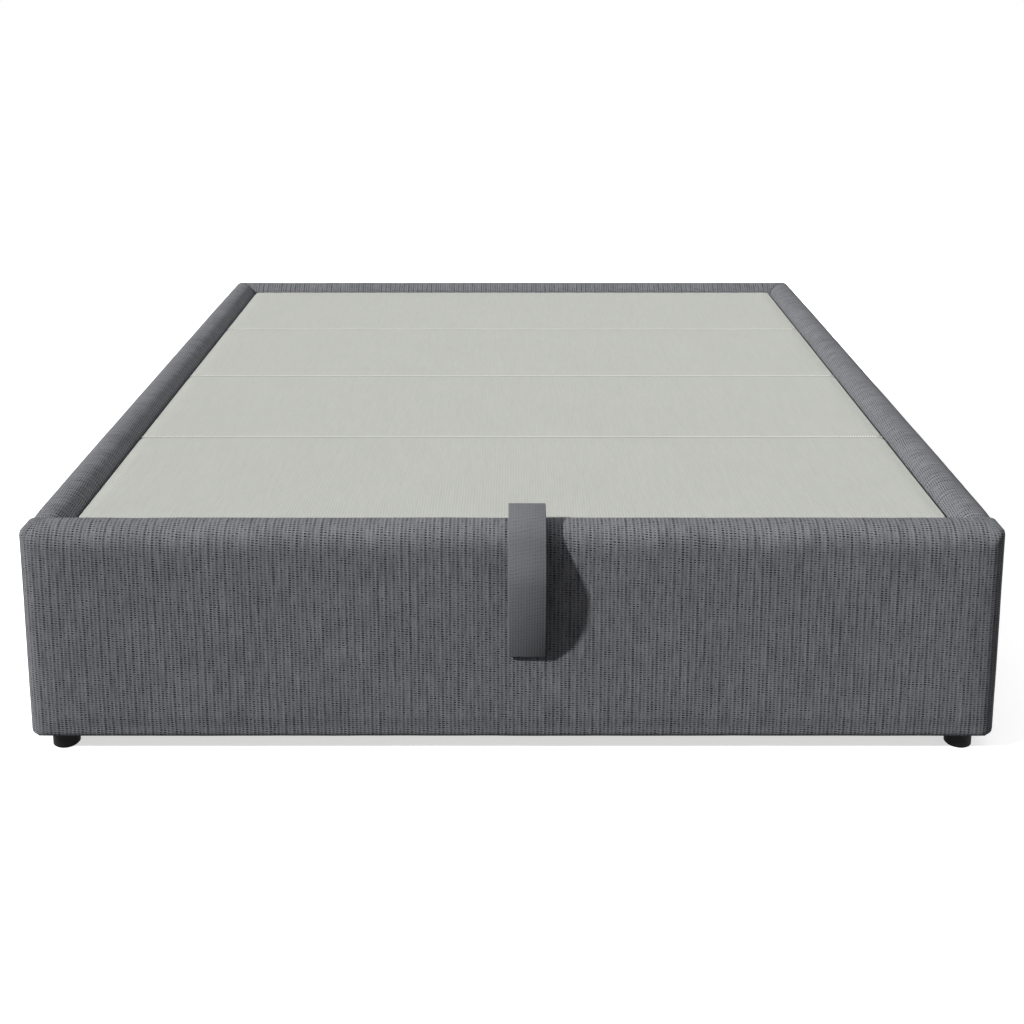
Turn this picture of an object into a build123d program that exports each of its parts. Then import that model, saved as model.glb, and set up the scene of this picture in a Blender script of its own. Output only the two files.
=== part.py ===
from build123d import *

import math
import os

os.makedirs("parts", exist_ok=True)

# Ottoman storage bed. X runs across the bed, Y from the foot end to the head end, Z up from the floor.
# The origin is on the floor, under the middle of the whole object with its pull strap.

# Mattress platform and the gaps round it
platform_width = 1800.0
platform_length = 2000.0
panel_count = 4
panel_seam = 1.0
side_gap = 5.0
head_gap = 4.0
foot_gap = 12.0
platform_recess = 22.0

# Upholstered walls, with a full-round top
wall_thickness = 86.0
wall_height = 456.0
foot_height = 38.0
fabric = 2.0
core_thickness = 44.0
core_drop = 60.0
wall_bottom_radius = 12.0
front_outline_radius = 14.0
front_edge_radius = 25.0
front_seam_radius = 8.0
back_corner_radius = 30.0

# Feet, and the legs under the middle
foot_radius = 27.5
foot_side_inset = 63.0
foot_end_inset = 52.0
foot_chamfer = 2.0
foot_screw_radius = 4.0
foot_screw_start = 6.0
foot_screw_bite = 40.0
leg_width = 40.0
leg_count = 3

# Storage floor
batten_width = 30.0
batten_height = 30.0
beam_width = 60.0
floor_board_count = 3
floor_board_thickness = 10.0
floor_board_gap = 1.0
floor_board_clearance = 0.5

# Corner brackets and the bolts of the base
bracket_leg = 80.0
bracket_height = 90.0
bracket_thickness = 4.0
bracket_lift = 15.0
bracket_bend_radius = 6.0
bolt_radius = 4.0
bolt_head_width = 13.0
bolt_head_height = 4.5
bolt_length = 34.0
bolt_clearance = 0.2
shank_sides = 8

# Platform panels: a board in a padded fabric cover with a turned-under hem
panel_thickness = 26.0
panel_fabric = 1.5
panel_hem = 45.0
panel_edge_radius = 4.0
board_thickness = 16.0

# Steel frame under the panels
tube_width = 20.0
tube_height = 30.0
tube_wall = 2.0
cross_tube_width = 40.0
tube_head_inset = 10.0
screw_radius = 2.5
screw_head_width = 8.0
screw_head_height = 2.5
screw_bite = 10.0
screw_clearance = 0.2

# Lifting hinge
lift_angle = 42.0
pivot_setback = 300.0
plate_thickness = 4.0
plate_gap = 0.3
plate_pivot_radius = 20.0
plate_stud_radius = 24.0
plate_foot_radius = 20.0
plate_window_radius = 14.0
arm_thickness = 5.0
arm_length = 400.0
arm_lobe_radius = 20.0
arm_lobe_spread = 60.0
arm_bolt_runs = (120.0, 360.0)
pin_radius = 6.0
pin_head_radius = 10.0
pin_head_height = 4.0
pin_head_clearance = 1.5
running_clearance = 0.05

# Gas strut, from the stud on the hinge plate to the stud under the lift arm
strut_inset = 21.0
arm_eye_run = 300.0
arm_eye_drop = 36.0
stud_run = 165.0
stud_drop = 250.0
stud_radius = 5.0
stud_collar_radius = 8.0
stud_head_height = 2.5
eye_radius = 10.0
eye_thickness = 10.0
eye_neck_radius = 4.8
eye_neck_start = 7.0
cylinder_radius = 11.0
cylinder_bore_radius = 9.0
cylinder_cap = 6.0
cylinder_start = 16.0
cylinder_end_margin = 30.0
rod_radius = 4.0
rod_end_margin = 16.0
piston_radius = 8.8
piston_length = 8.0
piston_margin = 3.0

# Rest stops near the foot end
rest_run = 180.0
rest_width = 60.0
rest_leg = 70.0
rest_reach = 34.0
rest_bolt_spacing = 30.0
rest_bend_radius = 6.0
buffer_radius = 11.0
buffer_height = 10.0

# Pull strap: a sewn fabric loop, over the crest and down the front, bowed out for the hand
strap_width = 75.0
strap_offset = 30.0
strap_thickness = 3.0
strap_stand_off = 2.0
strap_bow = 46.0
strap_drop = 272.0
strap_fold = 6.4
strap_rise = 28.0
strap_split_drop = 26.0
strap_join_drop = 57.0
strap_tail_drop = 77.0
strap_rise_share = 0.52
strap_bow_shares = ((0.54, 0.07), (1.0, 0.4), (0.26, 0.985))
clamp_height = 14.0
clamp_thickness = 2.0
clamp_drop = 70.0
clamp_screw_spacing = 40.0


def strap_section():
    """The strap seen from the side: x runs out from the front face, y up from the crest."""
    radius = wall_thickness / 2
    near = strap_stand_off + strap_thickness / 2
    tail = -(wall_thickness + foot_gap)
    fold = (near, strap_fold - strap_drop)
    split = (tail + strap_thickness / 2, -strap_split_drop)
    joined = (tail + strap_thickness * 1.5, -strap_join_drop)
    over = (-wall_thickness * strap_rise_share, strap_rise)
    bow = [(strap_bow * out, -strap_drop * down) for out, down in strap_bow_shares]
    with BuildSketch() as section:
        with BuildLine():
            bend = TangentArc(split, over, tangent=(0, 1))
            for place in (*bow, fold):
                bend = TangentArc(bend @ 1, place, tangent=bend % 1)
            Line(fold, (near, -radius))
            ThreePointArc((near, -radius), (-radius, near), (-wall_thickness - near, -radius))
            Line((-wall_thickness - near, -radius), joined)
        trace(line_width=strap_thickness)
        with Locations((tail, -strap_tail_drop)):
            Rectangle(
                2 * strap_thickness,
                strap_tail_drop - strap_split_drop,
                align=(Align.MIN, Align.MIN),
            )
    return section.sketch


# Places worked out from the sizes above
strap_side = strap_section()
strap_reach = strap_side.bounding_box().max.X
inner_half = platform_width / 2 + side_gap
outer_half = inner_half + wall_thickness
crest = foot_height + wall_height
crest_radius = wall_thickness / 2
round_z = crest - crest_radius
core_bottom = foot_height + fabric
core_top = crest - core_drop
outer_length = 2 * wall_thickness + foot_gap + platform_length + head_gap
front_y = (strap_reach - outer_length) / 2
well_foot_y = front_y + wall_thickness
back_y = front_y + outer_length
well_head_y = back_y - wall_thickness
well_middle_y = (well_foot_y + well_head_y) / 2
platform_foot_y = well_foot_y + foot_gap
platform_head_y = platform_foot_y + platform_length
platform_top = crest - platform_recess
platform_bottom = platform_top - panel_thickness
panel_pitch = platform_length / panel_count
tube_bottom = platform_bottom - tube_height
floor_bottom = core_bottom + batten_height
floor_top = floor_bottom + floor_board_thickness
pivot_y = platform_head_y - pivot_setback
pivot_z = platform_bottom - tube_height / 2
plate_inner_x = inner_half - plate_thickness
arm_outer_x = plate_inner_x - plate_gap
arm_inner_x = arm_outer_x - arm_thickness
tube_inner_x = arm_inner_x - tube_width
tube_x = arm_inner_x - tube_width / 2
strut_x = plate_inner_x - strut_inset
eye_inner_x = strut_x - eye_thickness / 2
eye_outer_x = strut_x + eye_thickness / 2


def keep(part, name):
    """Labels a finished piece and writes it as a STEP file."""
    part.label = name
    export_step(part, f"parts/{name}.step")


def mirrored(part):
    """The same piece on the other side of the bed."""
    with BuildPart() as other:
        mirror(part, about=Plane.YZ)
    return other.part


def both_sides(part):
    """A piece and its mirror image, as one group of separate solids."""
    with BuildPart() as pair:
        add(part)
        mirror(part, about=Plane.YZ)
    return pair.part


def drilled(part, seats, radius, depth):
    """A piece with a fastener hole under each seat, straight down from its plane."""
    with BuildPart() as body:
        add(part)
        with BuildSketch(*seats):
            RegularPolygon(radius, shank_sides)
        extrude(amount=-depth, mode=Mode.SUBTRACT)
    return body.part


def bored(part, seat, radius, depth):
    """A piece with a round bore under one seat."""
    with BuildPart() as body:
        add(part)
        with BuildSketch(seat):
            Circle(radius)
        extrude(amount=-depth, mode=Mode.SUBTRACT)
    return body.part


def fasteners(seats, head_width, head_height, radius, length):
    """Hexagon-headed bolts or screws on their seats. A shank, hidden in its hole, has few sides."""
    with BuildPart() as group:
        with BuildSketch(*seats):
            RegularPolygon(head_width / 2, 6, major_radius=False)
        extrude(amount=head_height)
        with BuildSketch(*seats):
            RegularPolygon(radius, shank_sides)
        extrude(amount=-length)
    return group.part


def inward_plane(x, y, z):
    """A plane on the right-hand side of the bed that faces its middle."""
    return Plane(origin=(x, y, z), x_dir=(0, 1, 0), z_dir=(-1, 0, 0))


def other_side(seat):
    """The mirror image of a seat plane."""
    place, facing = seat.origin, seat.z_dir
    return Plane(origin=(-place.X, place.Y, place.Z), z_dir=(-facing.X, facing.Y, facing.Z))


def other_end(seat):
    """A seat plane moved from the foot end of the well to its head end."""
    place, facing = seat.origin, seat.z_dir
    far_y = 2 * well_middle_y - place.Y
    return Plane(origin=(place.X, far_y, place.Z), z_dir=(facing.X, -facing.Y, facing.Z))


# Walls. A section's local x points outwards from the inner face, and its local y is up.
def wall_section(inset):
    """Section of a wall: straight sides under a full-round top, drawn in by the inset."""
    width = wall_thickness - 2 * inset
    bottom = foot_height + inset
    with BuildSketch() as section:
        with Locations((wall_thickness / 2, bottom)):
            Rectangle(width, round_z - bottom, align=(Align.CENTER, Align.MIN))
        outer_bottom = section.vertices().group_by(Axis.Y)[0].sort_by(Axis.X)[-1]
        fillet(outer_bottom, wall_bottom_radius - inset)
        with Locations((wall_thickness / 2, round_z)):
            Circle(width / 2)
    return section.sketch


def wall_plan(corners, inset):
    """Plan of a rail between its mitres, rounded where two rails meet outside."""
    with BuildSketch() as plan:
        with BuildLine():
            Polyline(*corners, close=True)
        make_face()
        with Locations((0, (front_y + back_y) / 2)):
            RectangleRounded(
                2 * (outer_half - inset),
                outer_length - 2 * inset,
                back_corner_radius - inset,
                mode=Mode.INTERSECT,
            )
    return plan.sketch


def front_outline(inset):
    """The front panel seen from the foot end, its four corners rounded."""
    height = wall_height - 2 * inset
    with BuildSketch() as outline:
        with Locations((0, foot_height + inset)):
            Rectangle(2 * (outer_half - inset), height, align=(Align.CENTER, Align.MIN))
        fillet(outline.vertices().group_by(Axis.Y)[-1], front_outline_radius - inset)
        fillet(outline.vertices().group_by(Axis.Y)[0], wall_bottom_radius - inset)
    return outline.sketch


def front_plan(inset):
    """The front panel seen from above, softer at its front edges than at the joint behind."""
    with BuildSketch() as plan:
        with Locations((0, front_y + wall_thickness / 2)):
            Rectangle(2 * (outer_half - inset), wall_thickness - 2 * inset)
        fillet(plan.vertices().group_by(Axis.Y)[0], front_edge_radius - inset)
        fillet(plan.vertices().group_by(Axis.Y)[-1], front_seam_radius - inset)
    return plan.sketch


def front_wall(inset):
    section_plane = Plane(origin=(outer_half, well_foot_y, 0), x_dir=(0, -1, 0), z_dir=(-1, 0, 0))
    with BuildPart() as body:
        with BuildSketch(section_plane):
            add(wall_section(inset))
        extrude(amount=2 * outer_half)
        with BuildSketch(Plane.XZ.offset(-well_foot_y)):
            add(front_outline(inset))
        extrude(amount=wall_thickness, mode=Mode.INTERSECT)
        with BuildSketch(Plane.XY):
            add(front_plan(inset))
        extrude(amount=crest, mode=Mode.INTERSECT)
    return body.part


def right_wall(inset):
    section_plane = Plane(origin=(inner_half, back_y, 0), x_dir=(1, 0, 0), z_dir=(0, -1, 0))
    corners = [
        (inner_half, well_foot_y),
        (outer_half, well_foot_y),
        (outer_half, back_y),
        (inner_half, well_head_y),
    ]
    with BuildPart() as body:
        with BuildSketch(section_plane):
            add(wall_section(inset))
        extrude(amount=back_y - well_foot_y - inset)
        with BuildSketch(Plane.XY):
            add(wall_plan(corners, inset))
        extrude(amount=crest, mode=Mode.INTERSECT)
    return body.part


def head_wall(inset):
    section_plane = Plane(origin=(-outer_half, well_head_y, 0), x_dir=(0, 1, 0), z_dir=(1, 0, 0))
    corners = [
        (-inner_half, well_head_y),
        (inner_half, well_head_y),
        (outer_half, back_y),
        (-outer_half, back_y),
    ]
    with BuildPart() as body:
        with BuildSketch(section_plane):
            add(wall_section(inset))
        extrude(amount=2 * outer_half)
        with BuildSketch(Plane.XY):
            add(wall_plan(corners, inset))
        extrude(amount=crest, mode=Mode.INTERSECT)
    return body.part


def timber(corners, bottom, height):
    """A straight piece of timber or board, standing on its plan corners."""
    with BuildPart() as block:
        with BuildSketch(Plane.XY.offset(bottom)):
            with BuildLine():
                Polyline(*corners, close=True)
            make_face()
        extrude(amount=height)
    return block.part


def front_core():
    half = inner_half + fabric + core_thickness
    far = well_foot_y - fabric
    near = far - core_thickness
    corners = [(-half, near), (half, near), (half, far), (-half, far)]
    return timber(corners, core_bottom, core_top - core_bottom)


def right_core():
    near = inner_half + fabric
    far = near + core_thickness
    start = well_foot_y + fabric
    corners = [
        (near, start),
        (far, start),
        (far, well_head_y + fabric + core_thickness),
        (near, well_head_y + fabric),
    ]
    return timber(corners, core_bottom, core_top - core_bottom)


def head_core():
    near = well_head_y + fabric
    far = near + core_thickness
    short = inner_half + fabric
    long = short + core_thickness
    corners = [(-short, near), (short, near), (long, far), (-long, far)]
    return timber(corners, core_bottom, core_top - core_bottom)


def hollowed(outer, *inner):
    """A piece less what lies inside it."""
    with BuildPart() as shell:
        add(outer)
        for piece in inner:
            add(piece, mode=Mode.SUBTRACT)
    return shell.part


# Seats of the bolts on the right-hand side: each plane lies under a bolt head
def corner_seats():
    middle_z = floor_top + bracket_lift + bracket_height / 2
    reach = (bracket_leg + bracket_thickness) / 2
    return [
        inward_plane(inner_half - bracket_thickness, well_foot_y + reach, middle_z),
        Plane(
            origin=(inner_half - reach, well_foot_y + bracket_thickness, middle_z),
            z_dir=(0, 1, 0),
        ),
    ]


def plate_corners():
    """Where the hinge plate's three corners have their centres, in Y and Z."""
    pivot = (pivot_y, pivot_z)
    stud = (pivot_y - stud_run, pivot_z - stud_drop)
    foot = (pivot_y, pivot_z - stud_drop)
    return pivot, stud, foot


def plate_seats():
    pivot, stud, foot = plate_corners()
    lower_share, upper_share, middle_share = 0.5, 0.8, 0.5
    places = [
        foot,
        (foot[0], foot[1] + (pivot[1] - foot[1]) * lower_share),
        (foot[0], foot[1] + (pivot[1] - foot[1]) * upper_share),
        (foot[0] + (stud[0] - foot[0]) * middle_share, foot[1]),
    ]
    return [inward_plane(plate_inner_x, y, z) for y, z in places]


def rest_seats():
    z = tube_bottom - buffer_height - rest_leg / 2
    middle = platform_foot_y + rest_run
    x = inner_half - bracket_thickness
    offsets = (-rest_bolt_spacing / 2, rest_bolt_spacing / 2)
    return [inward_plane(x, middle + offset, z) for offset in offsets]


foot_corner_seats = corner_seats()
head_corner_seats = [other_end(seat) for seat in foot_corner_seats]
foot_wall_seats = [seat for seat in foot_corner_seats if abs(seat.z_dir.Y) > abs(seat.z_dir.X)]
head_wall_seats = [other_end(seat) for seat in foot_wall_seats]
side_corner_seats = [
    seat
    for seat in foot_corner_seats + head_corner_seats
    if abs(seat.z_dir.X) > abs(seat.z_dir.Y)
]
side_seats = side_corner_seats + plate_seats() + rest_seats()
hole_radius = bolt_radius + bolt_clearance
hole_depth = bolt_length + bolt_clearance


def drilled_wall(piece, seats):
    return drilled(piece, seats, hole_radius, hole_depth)


def with_other_side(seats):
    return seats + [other_side(seat) for seat in seats]


# Foot screws stand in the cores of the front and head walls
def foot_places():
    """Centres of the four feet, with the name of each corner."""
    x = outer_half - foot_side_inset
    near = front_y + foot_end_inset
    far = back_y - foot_end_inset
    return {
        "front_left": (-x, near),
        "front_right": (x, near),
        "rear_left": (-x, far),
        "rear_right": (x, far),
    }


def foot_screw_length():
    return foot_height - foot_screw_start + fabric + foot_screw_bite


def foot_planes(names):
    """Planes at the foot screws' lower ends that face down, for the feet that are named."""
    places = foot_places()
    return [
        Plane(origin=(*places[name], foot_screw_start), z_dir=(0, 0, -1))
        for name in names
    ]


def wall_with_foot_holes(piece, names):
    radius = foot_screw_radius + bolt_clearance
    return drilled(piece, foot_planes(names), radius, foot_screw_length() + bolt_clearance)


# Front panel
front_inside = front_wall(fabric)
front_block = front_core()
front_seats = with_other_side(foot_wall_seats)
front_feet = ("front_left", "front_right")
front_cover = hollowed(front_wall(0), front_inside)
front_foam = hollowed(front_inside, front_block)
keep(wall_with_foot_holes(drilled_wall(front_cover, front_seats), front_feet), "front_panel_cover")
keep(front_foam, "front_panel_foam")
keep(wall_with_foot_holes(drilled_wall(front_block, front_seats), front_feet), "front_panel_core")

# Side rails
right_inside = right_wall(fabric)
right_block = right_core()
right_cover = drilled_wall(hollowed(right_wall(0), right_inside), side_seats)
right_foam = hollowed(right_inside, right_block)
right_core_block = drilled_wall(right_block, side_seats)
keep(right_cover, "right_rail_cover")
keep(right_foam, "right_rail_foam")
keep(right_core_block, "right_rail_core")
keep(mirrored(right_cover), "left_rail_cover")
keep(mirrored(right_foam), "left_rail_foam")
keep(mirrored(right_core_block), "left_rail_core")

# Head rail
head_inside = head_wall(fabric)
head_block = head_core()
head_seats = with_other_side(head_wall_seats)
head_feet = ("rear_left", "rear_right")
head_cover = hollowed(head_wall(0), head_inside)
head_foam = hollowed(head_inside, head_block)
keep(wall_with_foot_holes(drilled_wall(head_cover, head_seats), head_feet), "head_rail_cover")
keep(head_foam, "head_rail_foam")
keep(wall_with_foot_holes(drilled_wall(head_block, head_seats), head_feet), "head_rail_core")


# Feet: round blocks with a chamfered sole, each on a screw
with BuildPart() as feet:
    with BuildSketch(Plane.XY):
        with Locations(*foot_places().values()):
            Circle(foot_radius)
    extrude(amount=foot_height)
    chamfer(feet.edges().group_by(Axis.Z)[0], foot_chamfer)
keep(wall_with_foot_holes(feet.part, foot_places()), "feet")

with BuildPart() as foot_screws:
    with BuildSketch(Plane.XY.offset(foot_screw_start)):
        with Locations(*foot_places().values()):
            RegularPolygon(foot_screw_radius, shank_sides)
    extrude(amount=foot_screw_length())
keep(foot_screws.part, "foot_screws")


# Storage floor: battens round the well, a beam on legs down the middle, and the boards
def rectangle_corners(x, y):
    return [(x[0], y[0]), (x[1], y[0]), (x[1], y[1]), (x[0], y[1])]


side_batten = timber(
    rectangle_corners((inner_half - batten_width, inner_half), (well_foot_y, well_head_y)),
    core_bottom,
    batten_height,
)
batten_end = inner_half - batten_width - floor_board_clearance
with BuildPart() as floor_battens:
    add(side_batten)
    mirror(side_batten, about=Plane.YZ)
    for start in (well_foot_y, well_head_y - batten_width):
        reach = rectangle_corners((-batten_end, batten_end), (start, start + batten_width))
        with BuildSketch(Plane.XY.offset(core_bottom)):
            with BuildLine():
                Polyline(*reach, close=True)
            make_face()
        extrude(amount=batten_height)
keep(floor_battens.part, "floor_battens")

beam_start = well_foot_y + batten_width
beam_end = well_head_y - batten_width
keep(
    timber(
        rectangle_corners((-beam_width / 2, beam_width / 2), (beam_start, beam_end)),
        core_bottom,
        batten_height,
    ),
    "centre_beam",
)


with BuildPart() as beam_legs:
    with BuildSketch(Plane.XY):
        for step in range(leg_count):
            with Locations((0, beam_start + (beam_end - beam_start) * (step + 0.5) / leg_count)):
                Rectangle(leg_width, leg_width)
    extrude(amount=core_bottom)
keep(beam_legs.part, "beam_legs")

floor_pitch = (well_head_y - well_foot_y - 2 * floor_board_clearance + floor_board_gap) / floor_board_count
floor_half = inner_half - floor_board_clearance
for number in range(floor_board_count):
    start = well_foot_y + floor_board_clearance + number * floor_pitch
    corners = rectangle_corners((-floor_half, floor_half), (start, start + floor_pitch - floor_board_gap))
    keep(timber(corners, floor_bottom, floor_board_thickness), f"floor_board_{number + 1}")


# Corner brackets: bent steel angles in the corners of the well
def corner_bracket():
    x, y = inner_half, well_foot_y
    with BuildPart() as bracket:
        with BuildSketch(Plane.XY.offset(floor_top + bracket_lift)):
            with BuildLine():
                Polyline(
                    (x, y),
                    (x, y + bracket_leg),
                    (x - bracket_thickness, y + bracket_leg),
                    (x - bracket_thickness, y + bracket_thickness),
                    (x - bracket_leg, y + bracket_thickness),
                    (x - bracket_leg, y),
                    close=True,
                )
            make_face()
        extrude(amount=bracket_height)
        bend = bracket.edges().filter_by(Axis.Z).sort_by_distance((x, y, crest / 2))[1]
        fillet(bend, bracket_bend_radius)
    return drilled(bracket.part, foot_corner_seats, hole_radius, bracket_thickness)


foot_bracket = corner_bracket()
with BuildPart() as head_bracket:
    mirror(foot_bracket, about=Plane.XZ.offset(-well_middle_y))
with BuildPart() as corner_brackets:
    for bracket in (foot_bracket, head_bracket.part):
        add(bracket)
        mirror(bracket, about=Plane.YZ)
keep(corner_brackets.part, "corner_brackets")

# Bolts of the brackets, the hinge plates and the rest stops
base_seats = foot_corner_seats + head_corner_seats + plate_seats() + rest_seats()
keep(
    both_sides(fasteners(base_seats, bolt_head_width, bolt_head_height, bolt_radius, bolt_length)),
    "frame_bolts",
)


# Hinge plates: three-cornered steel plates on the side rails
def hinge_plate():
    pivot, stud, foot = plate_corners()
    centre = [sum(place) / 3 for place in zip(pivot, stud, foot)]
    window_share = 0.25
    with BuildPart() as plate:
        with BuildSketch(Plane.YZ.offset(plate_inner_x)):
            with Locations(pivot):
                Circle(plate_pivot_radius)
            with Locations(stud):
                Circle(plate_stud_radius)
            with Locations(foot):
                Circle(plate_foot_radius)
            make_hull()
            with Locations(pivot):
                Circle(pin_radius, mode=Mode.SUBTRACT)
        extrude(amount=plate_thickness)
        with BuildSketch(Plane.YZ.offset(plate_inner_x)):
            for place in (pivot, stud, foot):
                with Locations(tuple(c + (p - c) * window_share for c, p in zip(centre, place))):
                    Circle(plate_window_radius)
            make_hull()
        extrude(amount=plate_thickness, mode=Mode.SUBTRACT)
    return drilled(plate.part, plate_seats(), hole_radius, plate_thickness)


right_plate = hinge_plate()
keep(right_plate, "right_hinge_plate")
keep(mirrored(right_plate), "left_hinge_plate")


def turned_pin(y, z, steps):
    """A pin along X at a place in Y and Z, from (start x, end x, radius, shape) steps."""
    with BuildPart() as pin:
        for start, end, radius, shape in steps:
            with BuildSketch(inward_plane(start, y, z)):
                if shape == "hexagon":
                    RegularPolygon(radius, 6)
                else:
                    Circle(radius)
            extrude(amount=start - end)
    return pin.part


pin_head_x = arm_inner_x - plate_gap
pivot_pin = turned_pin(
    pivot_y,
    pivot_z,
    [
        (inner_half, pin_head_x, pin_radius, "round"),
        (pin_head_x, pin_head_x - pin_head_height, pin_head_radius, "hexagon"),
    ],
)
keep(both_sides(pivot_pin), "pivot_pins")

stud_y, stud_z = plate_corners()[1]
stud_collar_x = eye_outer_x + plate_gap
stud_head_x = eye_inner_x - plate_gap
lower_stud = turned_pin(
    stud_y,
    stud_z,
    [
        (plate_inner_x, stud_collar_x, stud_collar_radius, "hexagon"),
        (stud_collar_x, stud_head_x, stud_radius, "round"),
        (stud_head_x, stud_head_x - stud_head_height, stud_collar_radius, "hexagon"),
    ],
)
keep(both_sides(lower_stud), "lower_strut_studs")


# Gas struts. The strut plane stands on the lower stud, its normal along the strut.
eye_y = pivot_y - arm_eye_run
eye_z = pivot_z - arm_eye_drop
strut_length = math.hypot(eye_y - stud_y, eye_z - stud_z)
strut_plane = Plane(
    origin=(strut_x, stud_y, stud_z),
    x_dir=(1, 0, 0),
    z_dir=(0, eye_y - stud_y, eye_z - stud_z),
)
cylinder_end = strut_length - cylinder_end_margin
piston_start = cylinder_start + cylinder_cap + piston_margin
rod_end = strut_length - rod_end_margin


def strut_eye(y, z, neck_start, neck_end):
    """An end fitting: a round eye across the strut, on a neck along it."""
    with BuildPart() as eye:
        with BuildSketch(inward_plane(eye_outer_x, y, z)):
            Circle(eye_radius)
        extrude(amount=eye_thickness)
        with BuildSketch(strut_plane.offset(neck_start)):
            Circle(eye_neck_radius)
        extrude(amount=neck_end - neck_start)
    return eye.part


def strut_cylinder():
    """The pressure tube with its two end caps, and the lower eye screwed into it."""
    length = cylinder_end - cylinder_start
    with BuildPart() as cylinder:
        with BuildSketch(strut_plane.offset(cylinder_start)):
            Circle(cylinder_radius)
        extrude(amount=length)
        with BuildSketch(strut_plane.offset(cylinder_start + cylinder_cap)):
            Circle(cylinder_bore_radius)
        extrude(amount=length - 2 * cylinder_cap, mode=Mode.SUBTRACT)
        with BuildSketch(strut_plane.offset(cylinder_end)):
            Circle(rod_radius + running_clearance)
        extrude(amount=-2 * cylinder_cap, mode=Mode.SUBTRACT)
        add(strut_eye(stud_y, stud_z, eye_neck_start, cylinder_start))
    seat = inward_plane(eye_inner_x, stud_y, stud_z)
    return bored(cylinder.part, seat, stud_radius + running_clearance, eye_thickness)


def strut_rod():
    """The polished rod with its piston, and the upper eye screwed onto it."""
    with BuildPart() as rod:
        with BuildSketch(strut_plane.offset(piston_start)):
            Circle(piston_radius)
        extrude(amount=piston_length)
        with BuildSketch(strut_plane.offset(piston_start + piston_length)):
            Circle(rod_radius)
        extrude(amount=rod_end - piston_start - piston_length)
        add(strut_eye(eye_y, eye_z, rod_end, strut_length - eye_neck_start))
    seat = inward_plane(eye_inner_x, eye_y, eye_z)
    return bored(rod.part, seat, stud_radius + running_clearance, eye_thickness)


def strut_group(*pieces):
    with BuildPart() as group:
        for piece in pieces:
            add(piece)
    return group.part


upper_stud = turned_pin(
    eye_y,
    eye_z,
    [
        (arm_inner_x - plate_gap, eye_outer_x + plate_gap, stud_collar_radius, "hexagon"),
        (eye_outer_x + plate_gap, eye_inner_x - plate_gap, stud_radius, "round"),
        (
            eye_inner_x - plate_gap,
            eye_inner_x - plate_gap - stud_head_height,
            stud_collar_radius,
            "hexagon",
        ),
    ],
)
right_cylinder = strut_cylinder()
right_rod = strut_group(strut_rod(), upper_stud)
keep(right_cylinder, "right_strut_cylinder")
keep(mirrored(right_cylinder), "left_strut_cylinder")
keep(right_rod, "right_strut_rod")
keep(mirrored(right_rod), "left_strut_rod")


# Lift arms: steel strips on the platform's side tubes, with a lobe for the strut
def arm_seats():
    """Planes under the heads of the bolts that hold the arm, inside the side tube."""
    return [inward_plane(tube_inner_x, pivot_y - run, pivot_z) for run in arm_bolt_runs]


def lift_arm():
    strip_length = arm_length + tube_height / 2
    with BuildPart() as arm:
        with BuildSketch(Plane.YZ.offset(arm_inner_x)):
            with Locations((eye_y, eye_z)):
                Circle(arm_lobe_radius)
            with Locations((eye_y - arm_lobe_spread, pivot_z), (eye_y + arm_lobe_spread, pivot_z)):
                Circle(tube_height / 2)
            make_hull()
            with Locations((pivot_y + tube_height / 2, pivot_z)):
                Rectangle(strip_length, tube_height, align=(Align.MAX, Align.CENTER))
        extrude(amount=arm_thickness)
        end_edges = arm.edges().filter_by(Axis.X).group_by(Axis.Y)
        fillet(end_edges[-1], tube_height / 2 - running_clearance)
        with BuildSketch(Plane.YZ.offset(arm_inner_x)):
            with Locations((pivot_y, pivot_z)):
                Circle(pin_radius + running_clearance)
        extrude(amount=arm_thickness, mode=Mode.SUBTRACT)
    return drilled(arm.part, arm_seats(), hole_radius, 2 * tube_width)


right_arm = lift_arm()
keep(right_arm, "right_lift_arm")
keep(mirrored(right_arm), "left_lift_arm")

arm_bolt_length = tube_width + arm_thickness
keep(
    both_sides(fasteners(arm_seats(), bolt_head_width, bolt_head_height, bolt_radius, arm_bolt_length)),
    "lift_arm_bolts",
)


# Platform frame of rectangular steel tube
def hollow_tube(start, width, length):
    """A tube whose plane is square to its length, from the plane on."""
    with BuildPart() as tube:
        with BuildSketch(start):
            Rectangle(width, tube_height)
            Rectangle(width - 2 * tube_wall, tube_height - 2 * tube_wall, mode=Mode.SUBTRACT)
        extrude(amount=length)
    return tube.part


def across(y):
    """The plane at a cross tube's left end."""
    return Plane(origin=(-tube_inner_x, y, pivot_z), x_dir=(0, 1, 0), z_dir=(1, 0, 0))


def panel_seats():
    """Planes under the heads of the upright screws that hold the panels, one per panel."""
    places = [platform_foot_y + (number + 0.5) * panel_pitch for number in range(panel_count)]
    return [Plane(origin=(tube_x, y, tube_bottom), z_dir=(0, 0, -1)) for y in places]


def clamp_seats():
    """Planes under the heads of the strap clamp's screws."""
    y = platform_foot_y - 2 * strap_thickness - clamp_thickness
    z = crest - clamp_drop
    offsets = (-clamp_screw_spacing / 2, clamp_screw_spacing / 2)
    return [Plane(origin=(strap_offset + offset, y, z), z_dir=(0, -1, 0)) for offset in offsets]


screw_hole_radius = screw_radius + screw_clearance
panel_screw_length = tube_height + panel_fabric + screw_bite
clamp_screw_length = clamp_thickness + 2 * strap_thickness + tube_width


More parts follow.
